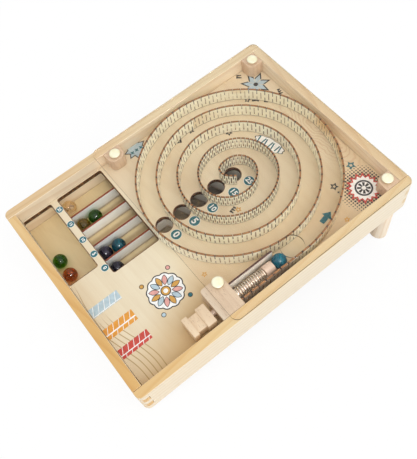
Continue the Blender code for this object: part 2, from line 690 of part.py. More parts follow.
def add_plunger(base, materials):
    carrier = bpy.data.objects.new("plunger_axis", None)
    carrier.parent = base
    carrier.location = (LAUNCH_LANE_X, HEAD_FRONT_Y, PLUNGER_AXIS_Z)
    bpy.context.collection.objects.link(carrier)
    wood = materials["block_wood"]
    centred = {"axis_x": 0, "axis_z": 0}
    rod_radius = PLUNGER_ROD_DIAMETER / 2
    socket_radius = rod_radius + FIT_GAP
    head_back = HEAD_BACK_Y - HEAD_FRONT_Y
    rod_back = head_back + PLUNGER_ROD_GRIP
    handle_back = HANDLE_BACK_Y - HEAD_FRONT_Y
    rod_front = handle_back - PLUNGER_ROD_GRIP
    rod = turned_along_y((rod_radius, rod_front), (rod_radius, rod_back), **centred)
    shade_round(object_from_bmesh("plunger_rod", rod, wood, carrier))

    head_radius = PLUNGER_HEAD_DIAMETER / 2
    head = object_from_bmesh(
        "plunger_head",
        turned_along_y(
            (head_radius - PLUNGER_HEAD_EDGE, head_back),
            (head_radius, head_back + PLUNGER_HEAD_EDGE),
            (head_radius, -PLUNGER_HEAD_EDGE),
            (head_radius - PLUNGER_HEAD_EDGE, 0),
            **centred,
        ),
        wood,
        carrier,
    )
    head_socket = turned_along_y(
        (socket_radius, head_back - CUT_OVERRUN), (socket_radius, rod_back + FIT_GAP), **centred
    )
    cut(head, add_cutter("head_socket", head_socket, carrier))
    shade_round(head)

    handle_top = -HANDLE_TOP_DEPTH - PLUNGER_AXIS_Z
    handle_bottom = BOARD_TOP + HANDLE_BOARD_CLEARANCE - PLUNGER_AXIS_Z
    half_width = HANDLE_WIDTH / 2
    neck_start = handle_back - HANDLE_BACK_LENGTH
    neck_end = neck_start - HANDLE_NECK_LENGTH
    front = handle_back - HANDLE_LENGTH
    stations = (
        (front, 0),
        (neck_end, 0),
        (neck_end, HANDLE_NECK_INSET),
        (neck_start, HANDLE_NECK_INSET),
        (neck_start, 0),
        (handle_back, 0),
    )
    rings = []
    for y, inset in stations:
        wide = half_width - inset
        low = handle_bottom + inset
        high = handle_top - inset
        rings.append([(-wide, y, low), (wide, y, low), (wide, y, high), (-wide, y, high)])
    handle = object_from_bmesh("plunger_handle", loft(rings), wood, carrier)
    ease_edges(handle, HANDLE_EDGE)
    handle_socket = turned_along_y(
        (socket_radius, rod_front - FIT_GAP), (socket_radius, handle_back + CUT_OVERRUN), **centred
    )
    cut(handle, add_cutter("handle_socket", handle_socket, carrier))


def spring_points():
    # A helix between the plunger block and the back of the plunger head.
    wire = SPRING_WIRE_DIAMETER
    radius = SPRING_MEAN_DIAMETER / 2
    start = PLUNGER_BLOCK_BACK_Y + FIT_GAP + wire / 2
    end = HEAD_BACK_Y - FIT_GAP - wire / 2
    count = SPRING_CURLS * SPRING_POINTS_PER_CURL
    points = []
    for k in range(count + 1):
        angle = 2 * math.pi * k / SPRING_POINTS_PER_CURL
        x = LAUNCH_LANE_X + radius * math.cos(angle)
        y = start + (end - start) * k / count
        points.append(Vector((x, y, PLUNGER_AXIS_Z + radius * math.sin(angle))))
    lead = Vector((0, 0, wire))
    return [points[0] - lead] + points + [points[-1] + lead]


def least_self_gap(points, wire):
    places = np.array(points)
    best = math.inf
    for k in range(len(places)):
        apart = k + SPRING_POINTS_PER_CURL // 2
        if apart < len(places):
            nearest = np.linalg.norm(places[apart:] - places[k], axis=1).min()
            best = min(best, nearest - wire)
    return best


def add_spring(base, materials):
    points = spring_points()
    curve = bpy.data.curves.new("plunger_spring", "CURVE")
    curve.dimensions = "3D"
    curve.bevel_depth = SPRING_WIRE_DIAMETER / 2
    curve.bevel_resolution = 1
    curve.use_fill_caps = True
    spline = curve.splines.new("POLY")
    spline.points.add(len(points) - 1)
    for slot, point in zip(spline.points, points):
        slot.co = (*point, 1)
    curve.materials.append(materials["steel"])
    spring = bpy.data.objects.new("plunger_spring", curve)
    spring.parent = base
    bpy.context.collection.objects.link(spring)
    gap = least_self_gap(points, SPRING_WIRE_DIAMETER)
    print(f"least gap between the spring's curls: {gap * 1000:.2f} mm")


# Cover and screws

def add_cover(base, materials):
    radii = (COVER_FRONT_RADIUS, COVER_FRONT_RADIUS, FRAME_CORNER_RADIUS, FRAME_CORNER_RADIUS)
    outline = rounded_rectangle(-HALF_WIDTH, HALF_WIDTH, COVER_FRONT_Y, HALF_LENGTH, radii)
    cover = object_from_bmesh(
        "clear_cover", prism(outline, COVER_BOTTOM, COVER_TOP), materials["clear_plastic"], base
    )
    levels = (COVER_BOTTOM, COVER_TOP)
    drill(cover, "loading_hole", LAUNCH_LANE_X, LOADING_HOLE_Y, LOADING_HOLE_DIAMETER, *levels, base)
    hole = SCREW_SHANK_DIAMETER + 2 * FIT_GAP
    for corner, (x, y) in cover_screw_places().items():
        drill(cover, f"cover_hole_{corner}", x, y, hole, *levels, base, SCREW_SEGMENTS)


def screw_profile(head_diameter, head_height, edge, shank_length):
    head = head_diameter / 2
    shank = SCREW_SHANK_DIAMETER / 2
    return [
        (shank * SCREW_TIP_SHARE, -shank_length),
        (shank, SCREW_TIP_LENGTH - shank_length),
        (shank, 0),
        (head, 0),
        (head, head_height - edge),
        (head - edge, head_height),
    ]


def add_cover_screws(base, materials):
    seat = COVER_TOP + FIT_GAP
    profile = screw_profile(
        SCREW_HEAD_DIAMETER, SCREW_HEAD_HEIGHT, SCREW_HEAD_EDGE, SCREW_SHANK_LENGTH + seat - CUT_OVERRUN
    )
    for corner, (x, y) in cover_screw_places().items():
        screw = object_from_bmesh(
            f"cover_screw_{corner}", turned(profile, SCREW_SEGMENTS), materials["brass"], base, (x, y, seat)
        )
        shade_round(screw)


# Legs

def table_height(y):
    # The table's height at a distance y along the tray, in the tray's own frame.
    return -FRAME_HEIGHT - (y + HALF_LENGTH) * math.tan(TILT)


def add_legs(base, materials):
    top = -FRAME_HEIGHT - FIT_GAP
    seat = FLOOR_TOP + FIT_GAP
    pilot = SCREW_SHANK_DIAMETER + 2 * FIT_GAP
    shank = LEG_SCREW_SHANK_LENGTH
    profile = screw_profile(LEG_SCREW_HEAD_DIAMETER, LEG_SCREW_HEAD_HEIGHT, SCREW_HEAD_EDGE, shank)
    for side, screw_x, screw_y in leg_screw_places():
        x = math.copysign(LEG_X, screw_x)
        outline = circle(x, LEG_Y, LEG_DIAMETER / 2, HOLE_SEGMENTS)
        foot = [(px, py, table_height(py)) for px, py in outline]
        shoulder = [(px, py, top) for px, py in outline]
        leg = object_from_bmesh(f"leg_{side}", loft([foot, shoulder]), materials["frame_wood"], base)
        drill(leg, f"leg_pilot_{side}", screw_x, screw_y, pilot, seat - shank, top, base, SCREW_SEGMENTS)
        shade_round(leg)
        solid = turned(profile, SCREW_SEGMENTS)
        place = (screw_x, screw_y, seat)
        shade_round(object_from_bmesh(f"leg_screw_{side}", solid, materials["steel"], base, place))


# Marbles

def marble_mesh(name, material):
    mesh_data = bmesh.new()
    bmesh.ops.create_uvsphere(
        mesh_data, u_segments=MARBLE_SEGMENTS, v_segments=MARBLE_RINGS, radius=MARBLE_RADIUS
    )
    mesh = bpy.data.meshes.new(name)
    mesh_data.to_mesh(mesh)
    mesh_data.free()
    mesh.materials.append(material)
    mesh.shade_smooth()
    return mesh


def lane_edges(lane):
    # Left and right limits of a scoring lane, counted from the left.
    half = RAIL_THICKNESS / 2
    lefts = [-INNER_X] + [x + half for x in reversed(DIVIDER_XS)]
    rights = [x - half for x in reversed(DIVIDER_XS)] + [GUIDE_RAIL_FACE_X]
    return lefts[lane], rights[lane]


def marble_places():
    floor_height = FLOOR_TOP + MARBLE_RADIUS + FIT_GAP
    spacing = MARBLE_DIAMETER + FIT_GAP
    places = {}
    for name, (lane, order, share) in LANE_MARBLE_SHARES.items():
        left, right = lane_edges(lane)
        reach = MARBLE_RADIUS + FIT_GAP
        play = right - left - 2 * reach
        x = left + reach + share * play
        y = LANE_STOP_FACE_Y + reach + order * spacing
        places[name] = (x, y, floor_height)
    tray_y = FIT_GAP - INNER_Y + MARBLE_RADIUS
    places["marble_tray_green"] = (TRAY_END_FACE_X - TRAY_GREEN_FROM_END, tray_y, floor_height)
    places["marble_tray_amber"] = (TRAY_END_FACE_X - TRAY_AMBER_FROM_END, tray_y, floor_height)
    launch_y = HEAD_FRONT_Y + MARBLE_RADIUS + FIT_GAP
    places["marble_launch_teal"] = (LAUNCH_LANE_X, launch_y, PLUNGER_AXIS_Z + FIT_GAP)
    return places


def add_marbles(base, materials):
    for name, place in marble_places().items():
        glass = materials["glass_" + name.rsplit("_", 1)[1]]
        marble = bpy.data.objects.new(name, marble_mesh(name, glass))
        marble.parent = base
        marble.location = place
        bpy.context.collection.objects.link(marble)


def build():
    clear_scene()
    materials = make_materials()
    base = make_tilted_base()
    add_walls(base, materials)
    add_play_board(base, materials)
    add_floor(base, materials)
    add_rails(base, materials)
    add_cleats(base, materials)
    add_spiral(base, materials)
    add_posts(base, materials)
    add_plunger(base, materials)
    add_spring(base, materials)
    add_cover(base, materials)
    add_cover_screws(base, materials)
    add_legs(base, materials)
    add_marbles(base, materials)
    bpy.context.view_layer.update()


build()
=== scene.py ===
# %% [markdown]
# # A tabletop pinball game, dressed over its imported solids
# A marble game in a wooden tray: a spiral track of kerfed plywood strip under
# a clear cover, a spring plunger, five scoring lanes and nine glass marbles.
# The imported model gives every place and size, and this lesson gives each
# piece its finer shape and its finish. We load the model first.

# %% Load the imported model
import json
import math

import bmesh
import bpy
from mathutils import Matrix, Vector


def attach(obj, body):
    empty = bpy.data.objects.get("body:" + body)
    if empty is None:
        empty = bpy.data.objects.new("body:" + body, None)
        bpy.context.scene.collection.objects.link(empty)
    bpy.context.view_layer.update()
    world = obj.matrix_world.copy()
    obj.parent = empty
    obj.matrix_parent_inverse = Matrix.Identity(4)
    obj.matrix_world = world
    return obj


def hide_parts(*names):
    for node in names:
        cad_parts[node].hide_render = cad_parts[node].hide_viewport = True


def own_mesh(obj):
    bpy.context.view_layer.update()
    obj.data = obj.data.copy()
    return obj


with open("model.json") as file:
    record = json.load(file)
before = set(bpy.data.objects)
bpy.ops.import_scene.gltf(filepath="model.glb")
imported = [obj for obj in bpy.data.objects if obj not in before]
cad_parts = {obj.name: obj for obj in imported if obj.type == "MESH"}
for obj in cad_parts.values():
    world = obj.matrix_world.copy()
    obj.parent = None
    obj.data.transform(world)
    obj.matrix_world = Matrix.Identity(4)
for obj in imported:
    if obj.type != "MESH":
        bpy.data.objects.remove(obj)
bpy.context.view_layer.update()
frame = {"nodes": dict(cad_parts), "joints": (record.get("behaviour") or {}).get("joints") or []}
SOLIDS = frame["nodes"]
print("solids in the packed model:", len(SOLIDS))

# %% [markdown]
# The tray stands on two rear legs, so nothing in it is level in the world.
# We could draw every piece on the slope, but it is easier to draw them level
# and to tilt them at the end with one matrix. The plunger slides along the
# slope, so its axis gives the tilt, and the walls give the middle of the rim.

# %% Find the tray's own frame
slide = Vector(frame["joints"][0]["axis"])
TILT = math.atan2(slide.z, slide.y)
level = Matrix.Rotation(-TILT, 4, "X")
walls = ("front_wall", "back_wall", "left_wall", "right_wall")
corners = [level @ v.co for name in walls for v in SOLIDS[name].data.vertices]
low = Vector([min(c[k] for c in corners) for k in range(3)])
high = Vector([max(c[k] for c in corners) for k in range(3)])
rim_middle = Vector(((low.x + high.x) / 2, (low.y + high.y) / 2, high.z))
TRAY = Matrix.Rotation(TILT, 4, "X") @ Matrix.Translation(rim_middle)
UP = (TRAY.to_3x3() @ Vector((0, 0, 1))).normalized()
print("tilt in degrees:", round(math.degrees(TILT), 3), "tray size:", high - low)

# %% [markdown]
# Later cells ask where a solid lies in the tray, so one helper answers that.
# It turns the solid's own points back to level and takes their box.

# %% Measure a solid in the tray's frame
def tray_box(name):
    back = TRAY.inverted()
    points = [back @ v.co for v in SOLIDS[name].data.vertices]
    return [Vector([end(p[k] for p in points) for k in range(3)]) for end in (min, max)]


BOARD_LOW, BOARD_HIGH = tray_box("play_board")
BOARD_TOP = BOARD_HIGH.z
print("play board lies from", BOARD_LOW, "to", BOARD_HIGH)

# %% [markdown]
# The camera looks down over the near right corner. Its place and turn were
# solved from the tray's corners, so we write them in the tray's frame and let
# the same matrix tilt them. A long edge of 36 mm of film gives the lens.

# %% Place the camera
CAMERA_PLACE = Vector((0.29516, -0.15498, 0.56857))
CAMERA_TURN = [math.radians(angle) for angle in (26.9764, 5.5639, 51.9101)]
lens = bpy.data.cameras.new("camera")
lens.lens = 49.28
lens.sensor_width = 36
camera = bpy.data.objects.new("camera", lens)
bpy.context.scene.collection.objects.link(camera)
turned_camera = Matrix.Translation(CAMERA_PLACE)
for angle, axis in zip(reversed(CAMERA_TURN), "ZYX"):
    turned_camera = turned_camera @ Matrix.Rotation(angle, 4, axis)
camera.matrix_world = TRAY @ turned_camera
bpy.context.scene.camera = camera
print("camera stands at", camera.matrix_world.translation)

# %% [markdown]
# Materials and Geometry Nodes are both trees of nodes, and a tree is long to
# write when every sum is a node. So we wrap a node's output in a Signal that
# can be added, multiplied and compared like a number: each sign adds the Math
# node for us. A Signal knows its tree, so the helpers need not be told it.

# %% Helpers for node trees
class Signal:
    def __init__(self, socket):
        self.socket = socket
        self.tree = socket.id_data


def feed(node, key, value):
    if isinstance(value, Signal):
        node.id_data.links.new(value.socket, node.inputs[key])
    else:
        node.inputs[key].default_value = value


def add(tree, kind, inputs=None, **settings):
    node = tree.nodes.new(kind)
    for name, value in settings.items():
        setattr(node, name, value)
    for key, value in (inputs or {}).items():
        feed(node, key, value)
    return node


def put(tree, kind, inputs=None, output=0, **settings):
    return Signal(add(tree, kind, inputs, **settings).outputs[output])


def tree_of(*values):
    return next(value.tree for value in values if isinstance(value, Signal))


def maths(operation, *values):
    return put(tree_of(*values), "ShaderNodeMath", dict(enumerate(values)), operation=operation)


def sign_for(operation, swapped=False):
    return lambda self, other: maths(operation, *((other, self) if swapped else (self, other)))


for sign, operation in (("add", "ADD"), ("sub", "SUBTRACT"), ("mul", "MULTIPLY"), ("truediv", "DIVIDE")):
    setattr(Signal, f"__{sign}__", sign_for(operation))
    setattr(Signal, f"__r{sign}__", sign_for(operation, swapped=True))
Signal.__gt__ = sign_for("GREATER_THAN")
Signal.__lt__ = sign_for("LESS_THAN")
Signal.__abs__ = lambda self: maths("ABSOLUTE", self)


def fract(value):
    return maths("FRACT", value)


def clipped_to(value, least, most):
    return maths("MINIMUM", maths("MAXIMUM", value, least), most)


def distance_of(first, second):
    return maths("SQRT", first * first + second * second)


def span(value, start, end, low=0.0, high=1.0, smooth=True):
    kind = "SMOOTHSTEP" if smooth else "LINEAR"
    sockets = {"Value": value, "From Min": start, "From Max": end, "To Min": low, "To Max": high}
    return put(value.tree, "ShaderNodeMapRange", sockets, interpolation_type=kind)


def vectors(operation, first, second=None, output=0):
    sockets = {0: first}
    if second is not None:
        sockets["Scale" if operation == "SCALE" else 1] = second
    return put(tree_of(first, second), "ShaderNodeVectorMath", sockets, output, operation=operation)


def parts_of(vector):
    return [Signal(part) for part in add(vector.tree, "ShaderNodeSeparateXYZ", {0: vector}).outputs]


print("signs that make a node:", "+ - * / > <")

# %% [markdown]
# Colours are noted as a screen shows them, from 0 to 255, but Blender works
# in linear light. One helper converts, and one mixes two colours by a share.

# %% Helpers for colour
def tone(red, green, blue):
    linear = []
    for value in (red, green, blue):
        share = value / 255
        linear.append(share / 12.92 if share < 0.04045 else ((share + 0.055) / 1.055) ** 2.4)
    return (*linear, 1.0)


def mixed(share, first, second):
    sockets = {0: share, 6: first, 7: second}
    return put(tree_of(share, first, second), "ShaderNodeMix", sockets, 2, data_type="RGBA")


print("a pine tone in linear light:", [round(v, 3) for v in tone(226, 197, 158)])

# %% [markdown]
# A pattern in wood has to stay with its piece, so every material starts from
# Object coordinates. One Mapping node takes them back to the level tray, and
# a second turns the grain along the piece and shifts it, so that no two
# pieces show the same board. Directions are compared with the normal.

# %% Coordinates for the finishes
ALONG_X = (0.0, 0.0, 0.0)
ALONG_Y = (0.0, 0.0, -math.pi / 2)
ALONG_Z = (0.0, math.pi / 2, 0.0)
UNMOVED = (0.0, 0.0, 0.0)


def tray_vector(tree, turn=UNMOVED, shift=UNMOVED):
    place = put(tree, "ShaderNodeTexCoord", output="Object")
    sockets = {"Vector": place, "Location": TRAY.translation, "Rotation": TRAY.to_euler()}
    vector = put(tree, "ShaderNodeMapping", sockets, vector_type="TEXTURE")
    if any(turn) or any(shift):
        vector = put(tree, "ShaderNodeMapping", {"Vector": vector, "Location": shift, "Rotation": turn})
    return vector


def facing(tree, direction):
    normal = put(tree, "ShaderNodeTexCoord", output="Normal")
    return vectors("DOT_PRODUCT", normal, tuple(direction), "Value")


def lying_flat(tree):
    return span(abs(facing(tree, UP)), 0.45, 0.75)


print("up in the tray is", UP)

# %% [markdown]
# Wood is the main finish here, so its grain is one shader group that every
# wooden piece shares. A tree grows in rings round its pith, and a board cuts
# through them: we measure the distance from a slightly sloping pith line, let
# noise make it wander, and take the late part of each ring as a darker line.
# Fine noise stretched along the grain gives the fibres, and a slow noise
# gives the cloudy change of tone. The group puts out colour, height and
# roughness only, and each material keeps its own shader.

# %% Wood grain group
def new_group(name, inputs, outputs, kind="ShaderNodeTree"):
    tree = bpy.data.node_groups.new(name, kind)
    for label, sort, value in inputs:
        socket = tree.interface.new_socket(name=label, in_out="INPUT", socket_type="NodeSocket" + sort)
        if value is not None:
            socket.default_value = value
    for label, sort in outputs:
        tree.interface.new_socket(name=label, in_out="OUTPUT", socket_type="NodeSocket" + sort)
    given = {socket.name: Signal(socket) for socket in tree.nodes.new("NodeGroupInput").outputs}
    return tree, given, tree.nodes.new("NodeGroupOutput")


def group_of(group, vector, **values):
    sockets = {"Vector": vector}
    sockets.update({label.replace("_", " "): value for label, value in values.items()})
    node = add(vector.tree, "ShaderNodeGroup", sockets, node_tree=group)
    return {socket.name: Signal(socket) for socket in node.outputs}


def scaled_noise(vector, scales, detail=2.0, roughness=0.5):
    stretched = vectors("MULTIPLY", vector, scales if isinstance(scales, tuple) else (scales,) * 3)
    sockets = {"Vector": stretched, "Scale": 1.0, "Detail": detail, "Roughness": roughness}
    return put(vector.tree, "ShaderNodeTexNoise", sockets)


def make_wood_grain():
    tree, given, out = new_group(
        "wood_grain",
        (
            ("Vector", "Vector", None),
            ("Light", "Color", tone(232, 206, 165)),
            ("Dark", "Color", tone(200, 160, 110)),
            ("Ring Width", "Float", 0.006),
            ("Ring Strength", "Float", 0.6),
            ("Fibre Strength", "Float", 0.4),
            ("Cloud Strength", "Float", 0.3),
            ("Pith Depth", "Float", 0.05),
            ("Pith Slope", "Float", 0.12),
            ("Roughness", "Float", 0.5),
        ),
        (("Color", "Color"), ("Height", "Float"), ("Roughness", "Float"), ("Rings", "Float")),
    )
    vector = given["Vector"]
    x, y, z = parts_of(vector)
    wander = span(scaled_noise(vector, (5.0, 26.0, 26.0)), 0.0, 1.0, -0.006, 0.006, smooth=False)
    deep = z + x * given["Pith Slope"] + given["Pith Depth"] + wander
    turn = fract(distance_of(y, deep) / given["Ring Width"])
    rings = span(turn, 0.45, 0.92) * span(turn, 0.93, 1.0, 1.0, 0.0)
    fibre = scaled_noise(vector, (45.0, 950.0, 950.0), 3.0, 0.6)
    streak = scaled_noise(vector, (9.0, 210.0, 210.0))
    cloud = scaled_noise(vector, (7.0, 30.0, 30.0))
    both = fibre * 0.6 + streak * 0.4
    thread = span(both, 0.30, 0.72, smooth=False)
    patch = span(cloud, 0.32, 0.68, smooth=False)
    shade = rings * given["Ring Strength"] + thread * given["Fibre Strength"] + patch * given["Cloud Strength"]
    feed(out, "Color", mixed(clipped_to(shade, 0.0, 1.0), given["Light"], given["Dark"]))
    feed(out, "Height", rings * 0.3 - thread * 0.7)
    feed(out, "Roughness", given["Roughness"] + span(both, 0.3, 0.7, -0.08, 0.10, smooth=False))
    feed(out, "Rings", rings)
    return tree


WOOD_GRAIN = make_wood_grain()
print("wood grain takes", len(WOOD_GRAIN.interface.items_tree), "sockets")

# %% [markdown]
# A laser cuts the plywood, and it leaves a brown, slightly glossy cut where
# the glue lines between the plies stay lighter. The cut pieces share a group
# for that too: it is told how deep a point lies in the sheet.

# %% Scorched cut group
def make_scorched_cut():
    tree, given, out = new_group(
        "scorched_cut",
        (
            ("Vector", "Vector", None),
            ("Depth", "Float", 0.5),
            ("Char", "Color", tone(92, 56, 34)),
            ("Glue", "Color", tone(176, 124, 80)),
            ("Plies", "Float", 3.0),
        ),
        (("Color", "Color"), ("Height", "Float")),
    )
    soot = scaled_noise(given["Vector"], 260.0, 3.0, 0.6)
    glue = span(abs(fract(given["Depth"] * given["Plies"]) - 0.5), 0.38, 0.48)
    share = maths("MAXIMUM", glue * 0.75, span(soot, 0.45, 0.75) * 0.55)
    feed(out, "Color", mixed(share, given["Char"], given["Glue"]))
    feed(out, "Height", soot - glue)
    return tree


SCORCHED_CUT = make_scorched_cut()
print("scorched cut takes", len(SCORCHED_CUT.interface.items_tree), "sockets")

# %% [markdown]
# A wooden finish is then the grain group, a Bump node for the fibres and one
# Principled shader with a thin satin lacquer, which Blender calls a coat.

# %% Build a finish
def new_material(name, **constants):
    material = bpy.data.materials.new(name)
    material.use_nodes = True
    for label, value in constants.items():
        shader_of(material).inputs[label.replace("_", " ")].default_value = value
    return material, material.node_tree


def shader_of(material):
    return material.node_tree.nodes["Principled BSDF"]


def dress(material, colour, roughness, height=None, depth=0.00015, strength=0.4):
    shader = shader_of(material)
    feed(shader, "Base Color", colour)
    feed(shader, "Roughness", roughness)
    if height is not None:
        sockets = {"Height": height, "Distance": depth, "Strength": strength}
        feed(shader, "Normal", put(height.tree, "ShaderNodeBump", sockets))
    return material


def grain(vector, light, dark, **values):
    return group_of(WOOD_GRAIN, vector, Light=light, Dark=dark, **values)


def wooden(name, light, dark, along=ALONG_X, shift=UNMOVED, **values):
    material, tree = new_material(name, Coat_Weight=0.15, Coat_Roughness=0.35)
    wood = grain(tray_vector(tree, along, shift), tone(*light), tone(*dark), **values)
    return dress(material, wood["Color"], wood["Roughness"], wood["Height"], 0.0002, 0.5)


print("satin lacquer coat on wood:", 0.15)

# %% [markdown]
# The frame is pale pine under a satin lacquer. Four boards never match, so
# each wall gets its own tone and its own shift through the grain, and its
# tone drifts from one end to the other. The grain runs along each board:
# along the tray in the side walls, across it in the end walls. Faces that
# look outwards and inwards get a paler colour, which is painted light where
# the side light falls on them; there the growth rings show as fine lines.

# %% Pine for the frame
# Painted light: paler tones for faces that look outwards (first row) and inwards (second row).
PAINTED_LIGHT_FACES = (
    (1.0, 0.80, (234, 223, 202), (220, 198, 160)),
    (-1.0, 0.75, (255, 241, 217), (230, 202, 166)),
)


def pine(name, near, far, along, shift, outside):
    material, tree = new_material(name, Coat_Weight=0.2, Coat_Roughness=0.32)
    reached = span(parts_of(tray_vector(tree))[1 if along == ALONG_Y else 0], -0.14, 0.06)
    light, dark = [mixed(reached, tone(*first), tone(*last)) for first, last in zip(near, far)]
    wood = grain(
        tray_vector(tree, along, shift), light, dark, Ring_Width=0.0058, Ring_Strength=0.34,
        Fibre_Strength=0.34, Cloud_Strength=0.34, Pith_Depth=0.034, Pith_Slope=0.10, Roughness=0.46,
    )
    outward = facing(tree, TRAY.to_3x3() @ Vector(outside))
    colour = wood["Color"]
    for way, share, pale, line in PAINTED_LIGHT_FACES:
        # Painted light: faces that look out or in are mixed towards a paler tone.
        sanded = mixed(wood["Rings"] * 0.45, tone(*pale), tone(*line))
        colour = mixed(span(outward * way, 0.35, 0.75, 0.0, share), colour, sanded)
    return dress(material, colour, wood["Roughness"], wood["Height"], 0.0002, 0.5)


WALL_PINE = {
    "left_wall": pine(
        "pine_left", ((226, 198, 155), (205, 169, 123)), ((233, 221, 186), (212, 188, 148)),
        ALONG_Y, (0.31, 0.02, 0.0), (-1, 0, 0),
    ),
    "right_wall": pine(
        "pine_right", ((230, 199, 144), (215, 170, 102)), ((231, 212, 170), (216, 184, 130)),
        ALONG_Y, (1.37, -0.01, 0.01), (1, 0, 0),
    ),
    "front_wall": pine(
        "pine_front", ((230, 200, 147), (210, 167, 106)), ((224, 183, 114), (205, 153, 80)),
        ALONG_X, (2.11, 0.03, 0.0), (0, -1, 0),
    ),
    "back_wall": pine(
        "pine_back", ((226, 211, 178), (205, 178, 137)), ((226, 205, 165), (205, 173, 127)),
        ALONG_X, (3.43, 0.01, 0.02), (0, 1, 0),
    ),
}
LEG_PINE = wooden(
    "leg_pine", (252, 240, 220), (234, 210, 180), ALONG_Z, (0.5, 0.0, 0.0),
    Ring_Width=0.005, Ring_Strength=0.45, Fibre_Strength=0.4, Roughness=0.5,
)
CLEAT_PINE = wooden("cleat_pine", (226, 200, 158), (196, 158, 108), Ring_Strength=0.4)
print("pine finishes:", len(WALL_PINE) + 2)

# %% [markdown]
# The play board is birch plywood: a smooth, pale sheet with quiet grain
# across the tray and a few strong growth lines that sweep in from the near
# right corner. Those lines are level curves of one smooth function, so a
# fraction of it gives them all. At the far end the sheet's arched rings show
# faintly, which is the same trick with the distance from a centre. The floor
# below gets painted shade at the foot of each divider and a dark painted
# shade under the board. Any face that looks sideways shows the scorched plies instead.

# %% Birch plywood for the boards
DIVIDER_PITCH = 0.0228


def growth_lines(vector, start, rise, run, pitch, count):
    x, y, _ = parts_of(vector)
    wobble = span(scaled_noise(vector, (16.0, 30.0, 1.0)), 0.0, 1.0, -0.002, 0.002, smooth=False)
    number = (y - span(x, start[0], start[0] + run, 0.0, rise) + wobble - start[1]) / pitch
    line = span(abs(fract(number) - 0.5), 0.03, 0.14, 1.0, 0.0)
    inside = span(number, -count, -count + 0.01) * span(number, 0.0, 0.01, 1.0, 0.0)
    return line * inside * span(x, start[0] - 0.004, start[0] + 0.02)


def arched_rings(vector, centre=(0.004, 0.156), stretch=3.4, pitch=0.0030, reach=0.026):
    x, y, _ = parts_of(vector)
    away = distance_of((x - centre[0]) / stretch, y - centre[1])
    wobble = span(scaled_noise(vector, (38.0, 38.0, 1.0), 3.0), 0.0, 1.0, -0.008, 0.008, smooth=False)
    turn = fract((away + wobble) / pitch)
    line = span(turn, 0.45, 0.80) * span(turn, 0.85, 1.0, 1.0, 0.0)
    return line * span(away, reach * 0.5, reach, 1.0, 0.0)


def painted_floor_shade(vector, colour, first_divider):
    # Painted shade: darker at the foot of each divider, and darker under the board.
    x, y, _ = parts_of(vector)
    offset = abs(fract((x - first_divider) / DIVIDER_PITCH + 0.5) - 0.5) * DIVIDER_PITCH
    lanes = span(y, -0.126, -0.122) * span(x, -0.104, -0.100)
    colour = mixed(span(offset, 0.001, 0.0060, 0.55, 0.0) * lanes, colour, tone(140, 100, 50))
    colour = mixed(span(y, -0.066, -0.054, 0.0, 0.75), colour, tone(122, 108, 88))
    return mixed(span(y, -0.02, 0.045, 0.0, 0.85), colour, tone(44, 36, 30))


def plywood(
    name, light, dark, low, high, lines=(), shift=UNMOVED, tan=0.0, knot=0.0, first_divider=None, **values
):
    material, tree = new_material(name, Coat_Weight=0.12, Coat_Roughness=0.4)
    vector = tray_vector(tree)
    wood = grain(tray_vector(tree, ALONG_X, shift), tone(*light), tone(*dark), **values)
    x, y, z = parts_of(vector)
    right = x + maths("MINIMUM", y + 0.06, 0.0) * 0.5
    tanned = span(right, 0.02, 0.09, 0.0, tan) * span(y, -0.09, 0.0, 1.0, 0.40)
    colour = mixed(tanned, wood["Color"], tone(204, 170, 116))
    colour = mixed(arched_rings(vector) * knot, colour, tone(188, 136, 78))
    for line in lines:
        colour = mixed(growth_lines(vector, *line) * 0.8, colour, tone(160, 126, 60))
    if first_divider is not None:
        colour = painted_floor_shade(vector, colour, first_divider)
    cut = group_of(SCORCHED_CUT, vector, Depth=span(z, low, high, smooth=False))
    return dress(material, mixed(lying_flat(tree), cut["Color"], colour), wood["Roughness"], wood["Height"])


FLOOR_LOW, FLOOR_HIGH = tray_box("floor_board")
rail_low, rail_high = tray_box("lane_divider_1")
BOARD_PLY = plywood(
    "board_ply_birch", (235, 223, 195), (207, 182, 144), BOARD_LOW.z, BOARD_TOP,
    lines=(((0.030, -0.1495), 0.0175, 0.075, 0.0054, 5), ((-0.017, -0.1590), -0.004, 0.04, 0.0036, 2)),
    Ring_Width=0.010, Ring_Strength=0.08, Fibre_Strength=0.20, Cloud_Strength=0.36,
    Pith_Depth=0.05, Pith_Slope=0.22, Roughness=0.48, tan=0.95, knot=0.34,
)
FLOOR_PLY = plywood(
    "floor_ply_birch", (240, 220, 174), (212, 184, 132), FLOOR_LOW.z, FLOOR_HIGH.z, shift=(0.7, 0.1, 0.0),
    Ring_Width=0.008, Ring_Strength=0.10, Fibre_Strength=0.25, Cloud_Strength=0.4,
    Pith_Depth=0.04, Pith_Slope=0.2, Roughness=0.55, first_divider=(rail_low.x + rail_high.x) / 2,
)
print("board face at", round(BOARD_TOP, 4), "and floor at", round(FLOOR_HIGH.z, 4))

# %% [markdown]
# The laser burns the board almost black round every opening, and a narrow
# band of the face beside the cut goes brown too. That band and the cut share
# one finish, with a pale ply between two dark ones.

# %% Burnt plywood
def burnt_ply(name, low, high):
    material, tree = new_material(name, Specular_IOR_Level=0.3)
    vector = tray_vector(tree)
    depth = span(parts_of(vector)[2], low, high, smooth=False)
    cut = group_of(
        SCORCHED_CUT, vector, Depth=depth, Char=tone(30, 10, 6), Glue=tone(204, 146, 96), Plies=2.0,
    )
    soot = scaled_noise(vector, 140.0)
    face = mixed(span(soot, 0.35, 0.7), tone(84, 52, 34), tone(140, 102, 70))
    colour = mixed(lying_flat(tree), cut["Color"], face)
    return dress(material, colour, span(soot, 0.3, 0.7, 0.42, 0.58), cut["Height"], 0.0001, 0.3)


BURNT_PLY = burnt_ply("burnt_ply", BOARD_LOW.z, BOARD_TOP)
print("burnt finish is ready")
